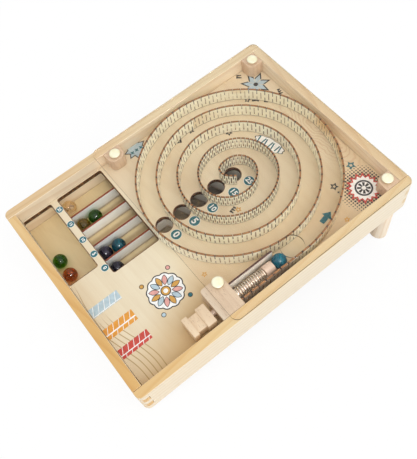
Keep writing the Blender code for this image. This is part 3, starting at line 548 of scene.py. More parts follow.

# %% [markdown]
# The rails under the board and the straight launch strip stand on edge: their
# broad sides are pale sheet faces with painted shade that darkens them towards
# the foot, and the laser-cut edge looks up, brown and a little red. The same
# mask by direction tells the two apart.

# %% Finish for strips that stand on edge
def on_edge(name, pale, char, glue, shift, foot):
    material, tree = new_material(name, Coat_Weight=0.08, Coat_Roughness=0.4)
    vector = tray_vector(tree)
    wood = grain(
        tray_vector(tree, ALONG_Y, shift), tone(*pale), tone(*[v - 12 for v in pale]),
        Ring_Width=0.004, Ring_Strength=0.3, Fibre_Strength=0.4, Cloud_Strength=0.3, Roughness=0.55,
    )
    x, _, z = parts_of(vector)
    # Painted shade: the side darkens towards its foot.
    side = mixed(span(z, foot, foot + 0.0055, 0.70, 0.0), wood["Color"], tone(150, 110, 60))
    depth = fract(x / 0.003)
    cut = group_of(SCORCHED_CUT, vector, Depth=depth, Char=tone(*char), Glue=tone(*glue), Plies=1.0)
    return dress(material, mixed(lying_flat(tree), side, cut["Color"]), wood["Roughness"], wood["Height"])


RAIL_PLY = on_edge("rail_ply", (255, 254, 248), (122, 40, 14), (162, 84, 34), (0.2, 0.0, 0.0), FLOOR_HIGH.z)
LAUNCH_PLY = on_edge(
    "launch_strip_ply", (250, 248, 240), (70, 36, 24), (104, 60, 40), (0.9, 0.0, 0.0), BOARD_TOP,
)
print("edge finishes are ready")

# %% [markdown]
# Posts, plunger block, head, rod and handle are turned or sawn beech: a
# pinkish tan wood with no strong rings but with short dark flecks along the
# grain. Flecks are a fine stretched noise that only shows above a threshold.

# %% Beech for the blocks
def beech(name, light, dark, along, shift, roughness=0.5):
    material, tree = new_material(name, Coat_Weight=0.1, Coat_Roughness=0.4)
    vector = tray_vector(tree, along, shift)
    wood = grain(
        vector, tone(*light), tone(*dark), Ring_Width=0.0045, Ring_Strength=0.28, Fibre_Strength=0.42,
        Cloud_Strength=0.3, Pith_Depth=0.03, Pith_Slope=0.06, Roughness=roughness,
    )
    fleck = span(scaled_noise(vector, (260.0, 1500.0, 1500.0), 1.0), 0.66, 0.74)
    colour = mixed(fleck * 0.6, wood["Color"], tone(150, 112, 84))
    return dress(material, colour, wood["Roughness"], wood["Height"] - fleck)


POST_BEECH = beech("post_beech", (228, 204, 176), (202, 172, 142), ALONG_Z, (0.1, 0.2, 0.0))
BLOCK_BEECH = beech("block_beech", (226, 208, 182), (204, 178, 150), ALONG_X, (0.4, 0.1, 0.0))
HANDLE_BEECH = beech("handle_beech", (236, 212, 178), (210, 180, 146), ALONG_X, (0.8, 0.1, 0.0))
PLUNGER_BEECH = beech("plunger_beech", (230, 206, 184), (206, 178, 156), ALONG_Y, (1.2, 0.0, 0.0), 0.45)
print("beech finishes are ready")

# %% [markdown]
# Every piece is drawn level, in the tray's frame, and one helper then tilts
# its mesh, gives it its finish, names the body that it rides on and says
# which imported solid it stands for. The object itself stays at the origin.

# %% Place a finished piece
def place_piece(name, mesh, finishes, body, slot, *stands_for):
    mesh.transform(TRAY)
    if mesh.materials:
        mesh.materials.clear()
    for finish in finishes:
        mesh.materials.append(finish)
    piece = bpy.data.objects.new(name, mesh)
    bpy.context.scene.collection.objects.link(piece)
    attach(piece, body)
    if stands_for:
        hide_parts(*stands_for)
    print(name, "has", sum(len(face.vertices) - 2 for face in mesh.polygons), "triangles")
    return piece


def shade_round(mesh, angle=32):
    mesh.shade_smooth()
    mesh.set_sharp_from_angle(angle=math.radians(angle))
    return mesh


def finished_mesh(name, work, angle=32):
    bmesh.ops.recalc_face_normals(work, faces=work.faces)
    mesh = bpy.data.meshes.new(name)
    work.to_mesh(mesh)
    work.free()
    return shade_round(mesh, angle)


# %% [markdown]
# Sawn pieces are never knife-sharp, and a worn edge is what catches light.
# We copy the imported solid, merge its loose triangles back into flat faces,
# turn it level and round its edges with a Bevel modifier that also keeps the
# flat faces flat. The wall corners stay as tight as real finger joints.

# %% Round the edges of a solid's copy
def eased_copy(name, width, steps=3):
    mesh = SOLIDS[name].data.copy()
    work = bmesh.new()
    work.from_mesh(mesh)
    bmesh.ops.remove_doubles(work, verts=work.verts, dist=1e-5)
    bmesh.ops.dissolve_limit(work, angle_limit=math.radians(1), verts=work.verts, edges=work.edges)
    work.to_mesh(mesh)
    work.free()
    mesh.transform(TRAY.inverted())
    shade_round(mesh)
    carrier = bpy.data.objects.new(name + "_blank", mesh)
    bpy.context.scene.collection.objects.link(carrier)
    modifier = carrier.modifiers.new("eased", "BEVEL")
    modifier.width = width
    modifier.segments = steps
    modifier.limit_method = "ANGLE"
    modifier.harden_normals = True
    evaluated = carrier.evaluated_get(bpy.context.evaluated_depsgraph_get())
    eased = bpy.data.meshes.new_from_object(evaluated)
    bpy.data.objects.remove(carrier)
    return eased


for wall, finish in WALL_PINE.items():
    place_piece(wall + "_eased", eased_copy(wall, 0.00055), [finish], "tray", "frame_wood", wall)

# %% [markdown]
# Flat pieces with curved outlines, such as the boards, the cover and the
# posts, are drawn afresh with many more steps round each curve. An outline
# is a function of how far its edge is set in, so the same outline gives the
# rounded lip, a narrow support band beside it and the flat face.

# %% Cut a plate from outlines
def rounded(x_low, x_high, y_low, y_high, radii, steps=16, hole=False):
    def outline(inset):
        grow = -inset if hole else inset
        sides = (x_low + grow, x_high - grow, y_low + grow, y_high - grow)
        places = ((0, 2, 1, 1, 180), (1, 2, -1, 1, 270), (1, 3, -1, -1, 0), (0, 3, 1, -1, 90))
        points = []
        for (side_x, side_y, way_x, way_y, start), radius in zip(places, radii):
            radius = max(radius - grow, 0.00001)
            for step in range(steps + 1):
                angle = math.radians(start + 90 * step / steps)
                x = sides[side_x] + way_x * radius + radius * math.cos(angle)
                y = sides[side_y] + way_y * radius + radius * math.sin(angle)
                points.append((x, y))
        return points
    return outline


def ring_of(radius, steps):
    angles = [2 * math.pi * k / steps for k in range(steps)]
    return [(radius * math.cos(angle), radius * math.sin(angle)) for angle in angles]


def round_hole(x, y, radius, steps=96):
    return lambda inset: [(x + a, y + b) for a, b in ring_of(radius + inset, steps)]


def bridge(work, rings):
    faces = []
    for first, second in zip(rings, rings[1:]):
        for k in range(len(first)):
            after = (k + 1) % len(first)
            faces.append(work.faces.new((first[k], first[after], second[after], second[k])))
    return faces


def plate(name, outlines, bottom, top, lip, steps=3, band=0.0004, burnt=()):
    quarter = [math.pi / 2 * k / steps for k in range(steps + 1)]
    side = [(lip + band, 0.0)] + [(lip * (1 - math.sin(a)), lip * (1 - math.cos(a))) for a in quarter]
    levels = [(inset, top - drop) for inset, drop in side]
    levels += [(inset, bottom + drop) for inset, drop in reversed(side)]
    work = bmesh.new()
    caps = ([], [])
    for number, outline in enumerate(outlines):
        rings = [[work.verts.new((x, y, height)) for x, y in outline(inset)] for inset, height in levels]
        for face in bridge(work, rings):
            face.material_index = int(number in burnt)
        for cap, ring in zip(caps, (rings[0], rings[-1])):
            cap += [work.edges.get((ring[k], ring[(k + 1) % len(ring)])) for k in range(len(ring))]
    for cap in caps:
        bmesh.ops.triangle_fill(work, use_beauty=True, edges=cap)
    return finished_mesh(name, work)


print("plates can be cut")

# %% [markdown]
# The play board has two windows over the scoring lanes and five round holes
# in a column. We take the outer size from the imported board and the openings
# from the real one's measured layout.

# %% Play board
HOLE_X = -0.0114
HOLE_RADIUS = 0.009
HOLE_YS = [-0.0472 + 0.0235 * k for k in range(5)]
SCORE_WINDOW = (-0.1155, -0.0014, -0.1197, -0.0620)
TRAY_WINDOW = (-0.1155, -0.0189, -0.1640, -0.1288)
board_outlines = [rounded(BOARD_LOW.x, BOARD_HIGH.x, BOARD_LOW.y, BOARD_HIGH.y, [0.0001] * 4, 1)]
board_outlines += [rounded(*window, [0.002] * 4, hole=True) for window in (SCORE_WINDOW, TRAY_WINDOW)]
board_outlines += [round_hole(HOLE_X, y, HOLE_RADIUS) for y in HOLE_YS]
openings = range(1, len(board_outlines))
board = plate("play_board_cut", board_outlines, BOARD_LOW.z, BOARD_TOP, 0.00015, band=0.0006, burnt=openings)
place_piece("play_board_cut", board, [BOARD_PLY, BURNT_PLY], "tray", "board_ply", "play_board")

# %% [markdown]
# The floor, the rails, the cleats, the straight launch strip and the leg
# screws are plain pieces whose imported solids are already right, so they stay
# and only take a finish.

# %% Finishes on the solids that stay
KEPT_FINISHES = {"floor_board": FLOOR_PLY, "launch_lane_strip": LAUNCH_PLY}
for side in ("left", "right", "front", "back"):
    KEPT_FINISHES[f"board_cleat_{side}"] = CLEAT_PINE
for name in ("hole_guide_rail", "upper_guide_rail", "lane_stop_rail", "tray_end_rail"):
    KEPT_FINISHES[name] = RAIL_PLY
for number in range(1, 5):
    KEPT_FINISHES[f"lane_divider_{number}"] = RAIL_PLY


def finish_solid(name, finish):
    for holder in SOLIDS[name].material_slots:
        holder.material = finish


for name, finish in KEPT_FINISHES.items():
    finish_solid(name, finish)
print("solids that stay and take a finish:", len(KEPT_FINISHES))

# %% [markdown]
# The spiral track is plywood strip made bendy by kerfing: a laser cuts slits
# across it, in turn from both edges towards the middle and through the
# middle only. That is a rule, so Geometry Nodes make it. The tree lays out a
# flat grid whose columns are the slits and the wood between them, deletes
# the slit faces, gives the sheet its thickness, remembers the flat layout
# for the material, and only then wraps everything round the path.

# %% Helpers for a Geometry Nodes tree
def new_shape_tree(name, inputs):
    sockets = [("Geometry", "Geometry", None)] + [(label, kind, None) for label, kind in inputs]
    return new_group(name, sockets, [("Geometry", "Geometry")], "GeometryNodeTree")


def xyz(x, y=0.0, z=0.0):
    return put(tree_of(x, y, z), "ShaderNodeCombineXYZ", {0: x, 1: y, 2: z})


def place_in(tree):
    return put(tree, "GeometryNodeInputPosition")


def moved_to(shape, position):
    return put(shape.tree, "GeometryNodeSetPosition", {"Geometry": shape, "Position": position})


def end_shape(out, shape, material):
    solid = put(shape.tree, "GeometryNodeRealizeInstances", {0: shape})
    feed(out, 0, put(shape.tree, "GeometryNodeSetMaterial", {"Geometry": solid, "Material": material}))


def run_tree(tree, name, host, values):
    carrier = bpy.data.objects.new(name + "_host", host)
    bpy.context.scene.collection.objects.link(carrier)
    modifier = carrier.modifiers.new(tree.name, "NODES")
    modifier.node_group = tree
    sockets = {
        item.name: item.identifier for item in tree.interface.items_tree
        if item.item_type == "SOCKET" and item.in_out == "INPUT"
    }
    for label, value in values.items():
        modifier[sockets[label]] = value
    evaluated = carrier.evaluated_get(bpy.context.evaluated_depsgraph_get())
    mesh = bpy.data.meshes.new_from_object(evaluated)
    carrier.modifiers.clear()
    bpy.data.objects.remove(carrier)
    mesh.name = name
    return mesh


def line_mesh(name, points):
    mesh = bpy.data.meshes.new(name)
    mesh.from_pydata(points, [(k, k + 1) for k in range(len(points) - 1)], [])
    return mesh


print("shape trees can be run")

# %% [markdown]
# The columns need care: each pitch has one slit and a stretch of wood that
# is cut in three, so that it can follow the bend. The rows stand at the
# shares of the height where slits begin and end.

# %% Kerfed strip tree
def make_kerfed_strip():
    tree, given, out = new_shape_tree(
        "kerfed_strip",
        (
            ("Height", "Float"), ("Bottom", "Float"), ("Thickness", "Float"), ("Pitch", "Float"),
            ("Slit Width", "Float"), ("Middle Bridge", "Float"), ("Edge Bridge", "Float"), ("Material", "Material"),
        ),
    )
    height, thickness, slit = given["Height"], given["Thickness"], given["Slit Width"]
    middle, edge = given["Middle Bridge"], given["Edge Bridge"]
    path = put(tree, "GeometryNodeMeshToCurve", {0: given["Geometry"]})
    length = put(tree, "GeometryNodeCurveLength", {0: path})
    count = maths("ROUND", length / given["Pitch"])
    pitch = length / count
    wide = count * 4.0 + 2.0
    sheet = put(tree, "GeometryNodeMeshGrid", {"Size X": 1.0, "Size Y": 1.0, "Vertices X": wide, "Vertices Y": 6})
    x, y, _ = parts_of(place_in(tree))
    column = maths("ROUND", (x + 0.5) * (wide - 1.0)) + 2.0
    group = maths("FLOOR", column / 4.0)
    part = column - group * 4.0
    wood = (pitch - slit) / 3.0
    past = maths("MINIMUM", part, 1.0) * slit + maths("MAXIMUM", part - 1.0, 0.0) * wood
    along = clipped_to((group - 0.5) * pitch - slit * 0.5 + past, 0.0, length)
    row = maths("ROUND", (y + 0.5) * 5.0)
    inner = 0.5 - middle * 0.5 - edge
    share = 0.0
    for number, step in enumerate((edge, inner, middle, inner, edge)):
        share = (row > number + 0.5) * step + share
    sheet = moved_to(sheet, xyz(along, 0.0, share * height))
    x, _, z = parts_of(place_in(tree))
    turns = x / pitch
    which = maths("FLOOR", turns)
    in_slit = abs(turns - which - 0.5) * pitch < slit * 0.5
    odd = maths("MODULO", which, 2.0)
    from_middle = abs(z / height - 0.5)
    outer = (from_middle > middle * 0.5) * (1.0 - odd)
    inner = (from_middle < 0.5 - edge) * odd
    slits = in_slit * (outer + inner) > 0.5
    sheet = put(tree, "GeometryNodeDeleteGeometry", {"Geometry": sheet, "Selection": slits}, domain="FACE")
    sockets = {"Mesh": sheet, "Offset Scale": thickness, "Individual": False}
    thick = put(tree, "GeometryNodeExtrudeMesh", sockets)
    join = add(tree, "GeometryNodeJoinGeometry")
    for half in (put(tree, "GeometryNodeFlipFaces", {0: sheet}), thick):
        feed(join, 0, half)
    solid = put(tree, "GeometryNodeMergeByDistance", {"Geometry": Signal(join.outputs[0]), "Distance": 0.00001})
    x, y, z = parts_of(place_in(tree))
    across = y + thickness * 0.5
    stored = add(tree, "GeometryNodeStoreNamedAttribute", data_type="FLOAT_VECTOR", domain="POINT")
    for label, value in (("Geometry", solid), ("Name", "flat"), ("Value", xyz(x, across, z))):
        shown = [socket.name == label and socket.enabled for socket in stored.inputs]
        feed(stored, shown.index(True), value)
    sample = add(tree, "GeometryNodeSampleCurve", {"Curves": path, "Length": x}, mode="LENGTH")
    left = vectors("CROSS_PRODUCT", (0.0, 0.0, 1.0), Signal(sample.outputs["Tangent"]))
    aside = vectors("SCALE", vectors("NORMALIZE", left), across)
    bent = vectors("ADD", Signal(sample.outputs["Position"]), aside)
    bent = vectors("ADD", bent, xyz(0.0, 0.0, z + given["Bottom"]))
    end_shape(out, moved_to(Signal(stored.outputs[0]), bent), given["Material"])
    return tree


KERFED_STRIP = make_kerfed_strip()
print("kerfed strip tree has", len(KERFED_STRIP.nodes), "nodes")

# %% [markdown]
# The strip's finish reads the flat layout that the tree stored, so the grain
# runs along the strip however it is bent. The broad sides are cream sheet
# with a brown halo by every slit, the cut edges are scorched, and here and
# there resin has stained the sheet orange. A dark line along both long edges
# of each side is partly scorched arris and partly painted shade where the
# strip meets the board. The first strip's straight start, beside the launch
# lane, is darkened with painted shade, as it stands in the wall's shade.

# %% Finish for the kerfed strips
STRIP_HEIGHT = 0.0171
STRIP_THICKNESS = 0.002
MIDDLE_BRIDGE = 0.28
EDGE_BRIDGE = 0.20
CREAM = (255, 252, 230)


def kerfed_finish(name, pitch, seed, slit, stain, shaded_start):
    material, tree = new_material(name, Coat_Weight=0.06, Coat_Roughness=0.45)
    layout = put(tree, "ShaderNodeAttribute", output="Vector", attribute_name="flat")
    sockets = {"Vector": layout, "Location": (seed, 0.0, 0.0), "Rotation": (math.pi / 2, 0.0, 0.0)}
    vector = put(tree, "ShaderNodeMapping", sockets)
    wood = grain(
        vector, tone(*CREAM), tone(*[v - 20 for v in CREAM]), Ring_Width=0.0035, Ring_Strength=0.15,
        Fibre_Strength=0.35, Cloud_Strength=0.30, Roughness=0.6,
    )
    along, across, height = parts_of(layout)
    shifted = put(tree, "ShaderNodeMapping", {"Vector": layout, "Location": (seed, 0, 0)})
    resin = span(scaled_noise(shifted, (14.0, 0.0, 30.0), 1.0), 0.50, 0.72) * stain
    colour = mixed(resin, wood["Color"], tone(208, 160, 78))
    # Painted shade: the straight start beside the wall is darkened.
    if shaded_start:
        colour = mixed(span(along, shaded_start * 0.6, shaded_start, 0.75, 0.0), colour, tone(118, 80, 54))
    turns = along / pitch
    which = maths("FLOOR", turns)
    from_slit = abs(turns - which - 0.5) * pitch
    from_middle = abs(height / STRIP_HEIGHT - 0.5)
    odd = maths("MODULO", which, 2.0)
    outer = span(from_middle, 0.10, 0.15) * (1.0 - odd)
    inner = span(from_middle, 0.29, 0.34, 1.0, 0.0) * odd
    halo = span(from_slit, slit * 0.5, slit * 0.5 + 0.0003, 1.0, 0.0) * (outer + inner) * 0.75
    # Partly scorched arris, partly painted shade: a dark line at the top and foot of each side.
    rim = span(from_middle, 0.46, 0.49) * 0.9
    colour = mixed(maths("MAXIMUM", halo, rim), colour, tone(76, 46, 24))
    depth = across / STRIP_THICKNESS + 0.5
    cut = group_of(SCORCHED_CUT, vector, Depth=depth, Char=tone(140, 94, 52), Glue=tone(198, 148, 90), Plies=3.0)
    tick = span(from_slit, 0.0006, 0.0012, 0.95, 0.0) * (1.0 - odd)
    edge = mixed(tick, cut["Color"], tone(40, 22, 14))
    side = span(abs(across), 0.00095, 0.00099)
    return dress(material, mixed(side, edge, colour), wood["Roughness"], wood["Height"])


print("bridges between slits, as shares of the height:", MIDDLE_BRIDGE, EDGE_BRIDGE)

# %% [markdown]
# The path is an oval spiral that loses one lane's width on each turn. Four
# equal lengths of strip make it, so their joints fall where the real ones
# do, and the innermost, which bends the most, has its slits twice as close.
# It ends in a tight curl round the last hole, a smooth line through a few
# chosen places.

# %% Spiral track
SPIRAL_CENTRE = (-0.00565, 0.04345)
SPIRAL_REACH = (0.11785, 0.1207)
LANE_PITCH = 0.0226
END_GAP = 0.0003
SPIRAL_TURNS = (SPIRAL_REACH[0] - 0.0141) / LANE_PITCH
JOINTS = [SPIRAL_TURNS * share for share in (0, 0.136, 0.323, 0.573, 0.98)]
KERF_PITCHES = (0.0047, 0.0047, 0.0047, 0.00235)
SLITS = (0.0006, 0.0006, 0.0008, 0.0009)
STAINS = (0.75, 0.35, 0.2, 0.35)
STRIP_LOW, STRIP_HIGH = tray_box("spiral_strip_1")
CURL_PLACES = (
    (-0.0206, 0.0383), (-0.0176, 0.0344), (-0.0132, 0.0334), (-0.0086, 0.0340), (-0.0040, 0.0374), (0.0009, 0.0432),
)


def spiral_point(turns):
    angle = 2 * math.pi * turns
    x = SPIRAL_CENTRE[0] + (SPIRAL_REACH[0] - LANE_PITCH * turns) * math.cos(angle)
    y = SPIRAL_CENTRE[1] + (SPIRAL_REACH[1] - LANE_PITCH * turns) * math.sin(angle)
    return (x, y, 0.0)


def curl_points(steps=12):
    places = [Vector(spiral_point(JOINTS[-1] - 0.046)), Vector(spiral_point(JOINTS[-1]))]
    places += [Vector((x, y, 0.0)) for x, y in CURL_PLACES]
    places.append(2 * places[-1] - places[-2])
    points = []
    for a, b, c, d in zip(places, places[1:], places[2:], places[3:]):
        for step in range(1, steps + 1):
            t = step / steps
            bend = (2 * a - 5 * b + 4 * c - d) * t**2 + (3 * b - a - 3 * c + d) * t**3
            points.append(tuple(b + ((c - a) * t + bend) / 2))
    return points


for number, (first, last) in enumerate(zip(JOINTS, JOINTS[1:])):
    gap = END_GAP / 2 / (2 * math.pi * (SPIRAL_REACH[0] - LANE_PITCH * last))
    steps = round(160 * (last - first))
    points = [spiral_point(first + gap + (last - first - 2 * gap) * k / steps) for k in range(steps + 1)]
    if number == 0:
        points.insert(0, (points[0][0], STRIP_LOW.y, 0.0))
    if number == 3:
        points += curl_points()
    run = sum(math.dist(a, b) for a, b in zip(points, points[1:]))
    pitch = run / round(run / KERF_PITCHES[number])
    shaded_start = spiral_point(0)[1] - STRIP_LOW.y if number == 0 else 0.0
    node = f"spiral_strip_{number + 1}"
    look = (pitch, 0.7 * (number + 1), SLITS[number], STAINS[number], shaded_start)
    finish = kerfed_finish(f"strip_{number + 1}_ply", *look)
    values = {
        "Height": STRIP_HEIGHT, "Bottom": STRIP_LOW.z, "Thickness": STRIP_THICKNESS, "Pitch": KERF_PITCHES[number],
        "Slit Width": SLITS[number], "Middle Bridge": MIDDLE_BRIDGE, "Edge Bridge": EDGE_BRIDGE, "Material": finish,
    }
    strip = shade_round(run_tree(KERFED_STRIP, node + "_kerfed", line_mesh(node, points), values), 30)
    place_piece(node + "_kerfed", strip, [finish], "tray", "strip_ply", node)
    print("  length in mm:", round(run * 1000, 1), "slits:", round(run / pitch))

# %% [markdown]
# The cover rests on three corner posts and on the plunger block. The posts
# are plates too, thick ones, each with the rounded corners that face the
# track; the block is the imported solid with its edges eased.

# %% Posts and plunger block
POST_RADII = {
    "rear_left_post": (0, 0.0065, 0, 0),
    "rear_right_post": (0.0065, 0, 0, 0),
    "front_left_post": (0, 0.0075, 0.0075, 0),
}
for name, radii in POST_RADII.items():
    low, high = tray_box(name)
    outline = rounded(low.x, high.x, low.y, high.y, radii)
    post = plate(name + "_sanded", [outline], low.z, high.z, 0.0004)
    place_piece(name + "_sanded", post, [POST_BEECH], "tray", "block_wood", name)
block = eased_copy("plunger_block", 0.0004)
place_piece("plunger_block_sanded", block, [BLOCK_BEECH], "tray", "block_wood", "plunger_block")

# %% [markdown]
# Round parts are profiles spun about a line, as on a lathe. Each corner of a
# profile is first replaced by a short arc, because a turner breaks every
# edge, and a narrow band beside the flat ends keeps their shading flat. A
# stack of rings becomes a closed skin, here and for other long shapes.

# %% Turn a piece on the lathe
def skin(name, rings, angle=32):
    work = bmesh.new()
    rings = [[work.verts.new(point) for point in ring] for ring in rings]
    bridge(work, rings)
    for end in (rings[0], rings[-1]):
        work.faces.new(end)
    return finished_mesh(name, work, angle)


def softened(corners, radius, steps=4, band=0.0003):
    profile = [corners[0]]
    for before, corner, after in zip(corners, corners[1:], corners[2:]):
        here = Vector(corner)
        back, on = Vector(before) - here, Vector(after) - here
        reach = min(radius, back.length * 0.45, on.length * 0.45)
        start, end = here + back.normalized() * reach, here + on.normalized() * reach
        profile.append(tuple(start + back.normalized() * min(band, back.length * 0.2)))
        for k in range(steps + 1):
            t = k / steps
            profile.append(tuple(start * (1 - t) ** 2 + here * 2 * t * (1 - t) + end * t * t))
        profile.append(tuple(end + on.normalized() * min(band, on.length * 0.2)))
    profile.append(corners[-1])
    return profile


def lathe(name, profile, centre, axis="Z", segments=96):
    rings = []
    for radius, along in profile:
        ring = [(a, b, along) if axis == "Z" else (a, along, b) for a, b in ring_of(radius, segments)]
        rings.append([Vector(centre) + Vector(point) for point in ring])
    return skin(name, rings)


print("the lathe is ready")

# %% [markdown]
# The plunger is a beech head that strikes the marble, a thin rod through the
# block, and a square handle with a waist for two fingers. Head and rod are
# turned; the handle is a stack of square sections with its edges rounded.

# %% Plunger
HEAD_LOW, HEAD_HIGH = tray_box("plunger_head")
LANE_X = (HEAD_LOW.x + HEAD_HIGH.x) / 2
PLUNGER_Z = (HEAD_LOW.z + HEAD_HIGH.z) / 2
HEAD_RADIUS = (HEAD_HIGH.x - HEAD_LOW.x) / 2
ROD_RADIUS = 0.003
for part, inner, outer, tip, soft, segments in (
    ("head", ROD_RADIUS + 0.0001, HEAD_RADIUS, 0.0004, 0.0009, 96), ("rod", 0.0001, ROD_RADIUS, 0.0001, 0.0003, 48),
):
    start, end = (corner.y for corner in tray_box("plunger_" + part))
    profile = softened([(inner, start), (outer, start), (outer, end), (tip, end)], soft)
    turned = lathe(f"plunger_{part}_turned", profile, (LANE_X, 0, PLUNGER_Z), "Y", segments)
    place_piece(f"plunger_{part}_turned", turned, [PLUNGER_BEECH], "plunger", "block_wood", "plunger_" + part)
handle = eased_copy("plunger_handle", 0.0007)
place_piece("plunger_handle_sanded", handle, [HANDLE_BEECH], "plunger", "block_wood", "plunger_handle")

# %% [markdown]
# The spring is a coil between the block and the head. A Geometry Nodes tree
# resamples a straight line, winds it by its own parameter and sweeps a round
# wire along it. Real compression springs close their last turn, so the pitch
# drops to the wire's width over the first and last turn.

# %% Spring tree
def make_coil_spring():
    tree, given, out = new_shape_tree(
        "coil_spring",
        (("Length", "Float"), ("Radius", "Float"), ("Wire", "Float"), ("Turns", "Float"), ("Material", "Material")),
    )
    turns, wire, radius = given["Turns"], given["Wire"], given["Radius"]
    line = put(tree, "GeometryNodeMeshToCurve", {0: given["Geometry"]})
    line = put(tree, "GeometryNodeResampleCurve", {"Curve": line, "Count": turns * 24.0}, mode="COUNT")
    wound = put(tree, "GeometryNodeSplineParameter", output="Factor") * turns
    open_turns = turns - 2.0
    open_pitch = (given["Length"] - wire * 3.0) / open_turns
    closed = maths("MINIMUM", wound, 1.0) + maths("MAXIMUM", wound - turns + 1.0, 0.0) + 0.5
    along = closed * wire + clipped_to(wound - 1.0, 0.0, open_turns) * open_pitch
    angle = wound * (2 * math.pi)
    coil = moved_to(line, xyz(maths("COSINE", angle) * radius, along, maths("SINE", angle) * radius))
    round_wire = put(tree, "GeometryNodeCurvePrimitiveCircle", {"Resolution": 10, "Radius": wire * 0.5})
    sockets = {"Curve": coil, "Profile Curve": round_wire, "Fill Caps": True}
    end_shape(out, put(tree, "GeometryNodeCurveToMesh", sockets), given["Material"])
    return tree


COIL_SPRING = make_coil_spring()
print("coil spring tree has", len(COIL_SPRING.nodes), "nodes")

# %% [markdown]
# Spring steel is drawn wire: bright, with fine scratches along it and a
# slight brown tint where it was tempered. The leg screws get their steel
# here too, and the cover's screws a pale brass.

# %% Metals
def metal(name, light, dark, roughness, scratch, metallic=1.0):
    material, tree = new_material(name, Metallic=metallic)
    vector = tray_vector(tree)
    cloud = scaled_noise(vector, 180.0)
    fine = scaled_noise(vector, (2200.0, 2200.0, 300.0))
    colour = mixed(span(cloud, 0.35, 0.7), tone(*light), tone(*dark))
    rough = span(cloud, 0.3, 0.7, roughness, roughness + 0.12) + fine * 0.08
    return dress(material, colour, rough, fine, scratch, 0.3)


SPRING_STEEL = metal("spring_steel", (244, 238, 226), (206, 196, 176), 0.30, 0.00002, 0.7)
SCREW_STEEL = metal("screw_steel", (186, 186, 184), (150, 150, 148), 0.3, 0.00002)
SCREW_BRASS = metal("screw_brass", (255, 252, 224), (250, 243, 204), 0.28, 0.000015, 0.3)
print("metal finishes: 3")

# %% [markdown]
# The spring rides on the tray, between the block and the plunger head.

# %% Spring
SPRING_GAP = 0.0003
spring_start = tray_box("plunger_block")[1].y + SPRING_GAP
spring_room = HEAD_LOW.y - SPRING_GAP - spring_start
values = {"Length": spring_room, "Radius": 0.0056, "Wire": 0.0011, "Turns": 14.0, "Material": SPRING_STEEL}
spring = run_tree(COIL_SPRING, "plunger_spring_wound", line_mesh("spring_line", [(0, 0, 0), (0, 1, 0)]), values)
spring.transform(Matrix.Translation((LANE_X, spring_start, PLUNGER_Z)))
shade_round(spring, 60)
spring_piece = place_piece("plunger_spring_wound", spring, [SPRING_STEEL], "tray", "steel", "plunger_spring")
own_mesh(spring_piece)

# %% [markdown]
# The cover is a 2 mm sheet of clear acrylic. In Cycles a clear sheet would
# block the lamps, so for shadow and diffuse rays it becomes a tinted
# Transparent shader, which is what thin plastic does to soft light. Its cut
# edge gets a dark grey tint, painted shade for the dark line a clear edge shows.

# %% Clear acrylic
def lets_light_through(material, tint):
    tree = material.node_tree
    path = add(tree, "ShaderNodeLightPath").outputs
    passing = maths("MAXIMUM", Signal(path["Is Shadow Ray"]), Signal(path["Is Diffuse Ray"]))
    open_to_light = put(tree, "ShaderNodeBsdfTransparent", {"Color": tone(*tint)})
    body = Signal(shader_of(material).outputs[0])
    both = put(tree, "ShaderNodeMixShader", {0: passing, 1: body, 2: open_to_light})
    feed(tree.nodes["Material Output"], "Surface", both)
    return material


def acrylic(name, colour, tint, roughness):
    material, tree = new_material(name, Transmission_Weight=1.0, IOR=1.2)
    vector = tray_vector(tree)
    handling = scaled_noise(vector, 22.0, 3.0)
    hairline = scaled_noise(vector, (40.0, 2600.0, 1.0), 1.0)
    warm = mixed(span(handling, 0.3, 0.7), tone(*colour), tone(*[v - 3 for v in colour]))
    rough = span(handling, 0.45, 0.75, roughness, roughness + 0.03)
    return lets_light_through(dress(material, warm, rough, hairline, 0.000002, 0.1), tint)


COVER_FACE = acrylic("cover_face_acrylic", (254, 251, 249), (255, 253, 251), 0.0)
# Painted shade: the edge's near-black tint stands in for the dark line of a clear edge.
COVER_EDGE = acrylic("cover_edge_acrylic", (34, 26, 20), (225, 218, 208), 0.2)
print("acrylic finishes: 2")

# %% [markdown]
# The cover reaches over the rim at the back and sides and ends just behind
# the scoring window. It has a loading hole over the launch lane, and its two
# front corners are rounded. Faces that look sideways take the edge finish.

# %% Clear cover
COVER_LOW, COVER_HIGH = tray_box("clear_cover")
COVER_INSET = 0.0005
LOADING_HOLE = (LANE_X, 0.0321, 0.0125)
COVER_RADII = (0.0075, 0.0075, 0.0065, 0.0065)
sides = (COVER_LOW.x + COVER_INSET, COVER_HIGH.x - COVER_INSET, COVER_LOW.y, COVER_HIGH.y - COVER_INSET)
cover_outlines = [rounded(*sides, COVER_RADII, 24), round_hole(*LOADING_HOLE)]
cover = plate("clear_cover_cut", cover_outlines, COVER_LOW.z, COVER_HIGH.z, 0.00012)
for face in cover.polygons:
    face.material_index = 0 if abs(face.normal.z) > 0.6 else 1
cover_piece = place_piece("clear_cover_cut", cover, [COVER_FACE, COVER_EDGE], "tray", "clear_plastic", "clear_cover")
print("faces on the cover's edges:", sum(face.material_index for face in cover_piece.data.polygons))

# %% [markdown]
# Four screws with wide, low heads hold the cover. Each is a turned profile:
# a slightly domed head with a soft rim, and the shank that goes into the
# wood below.

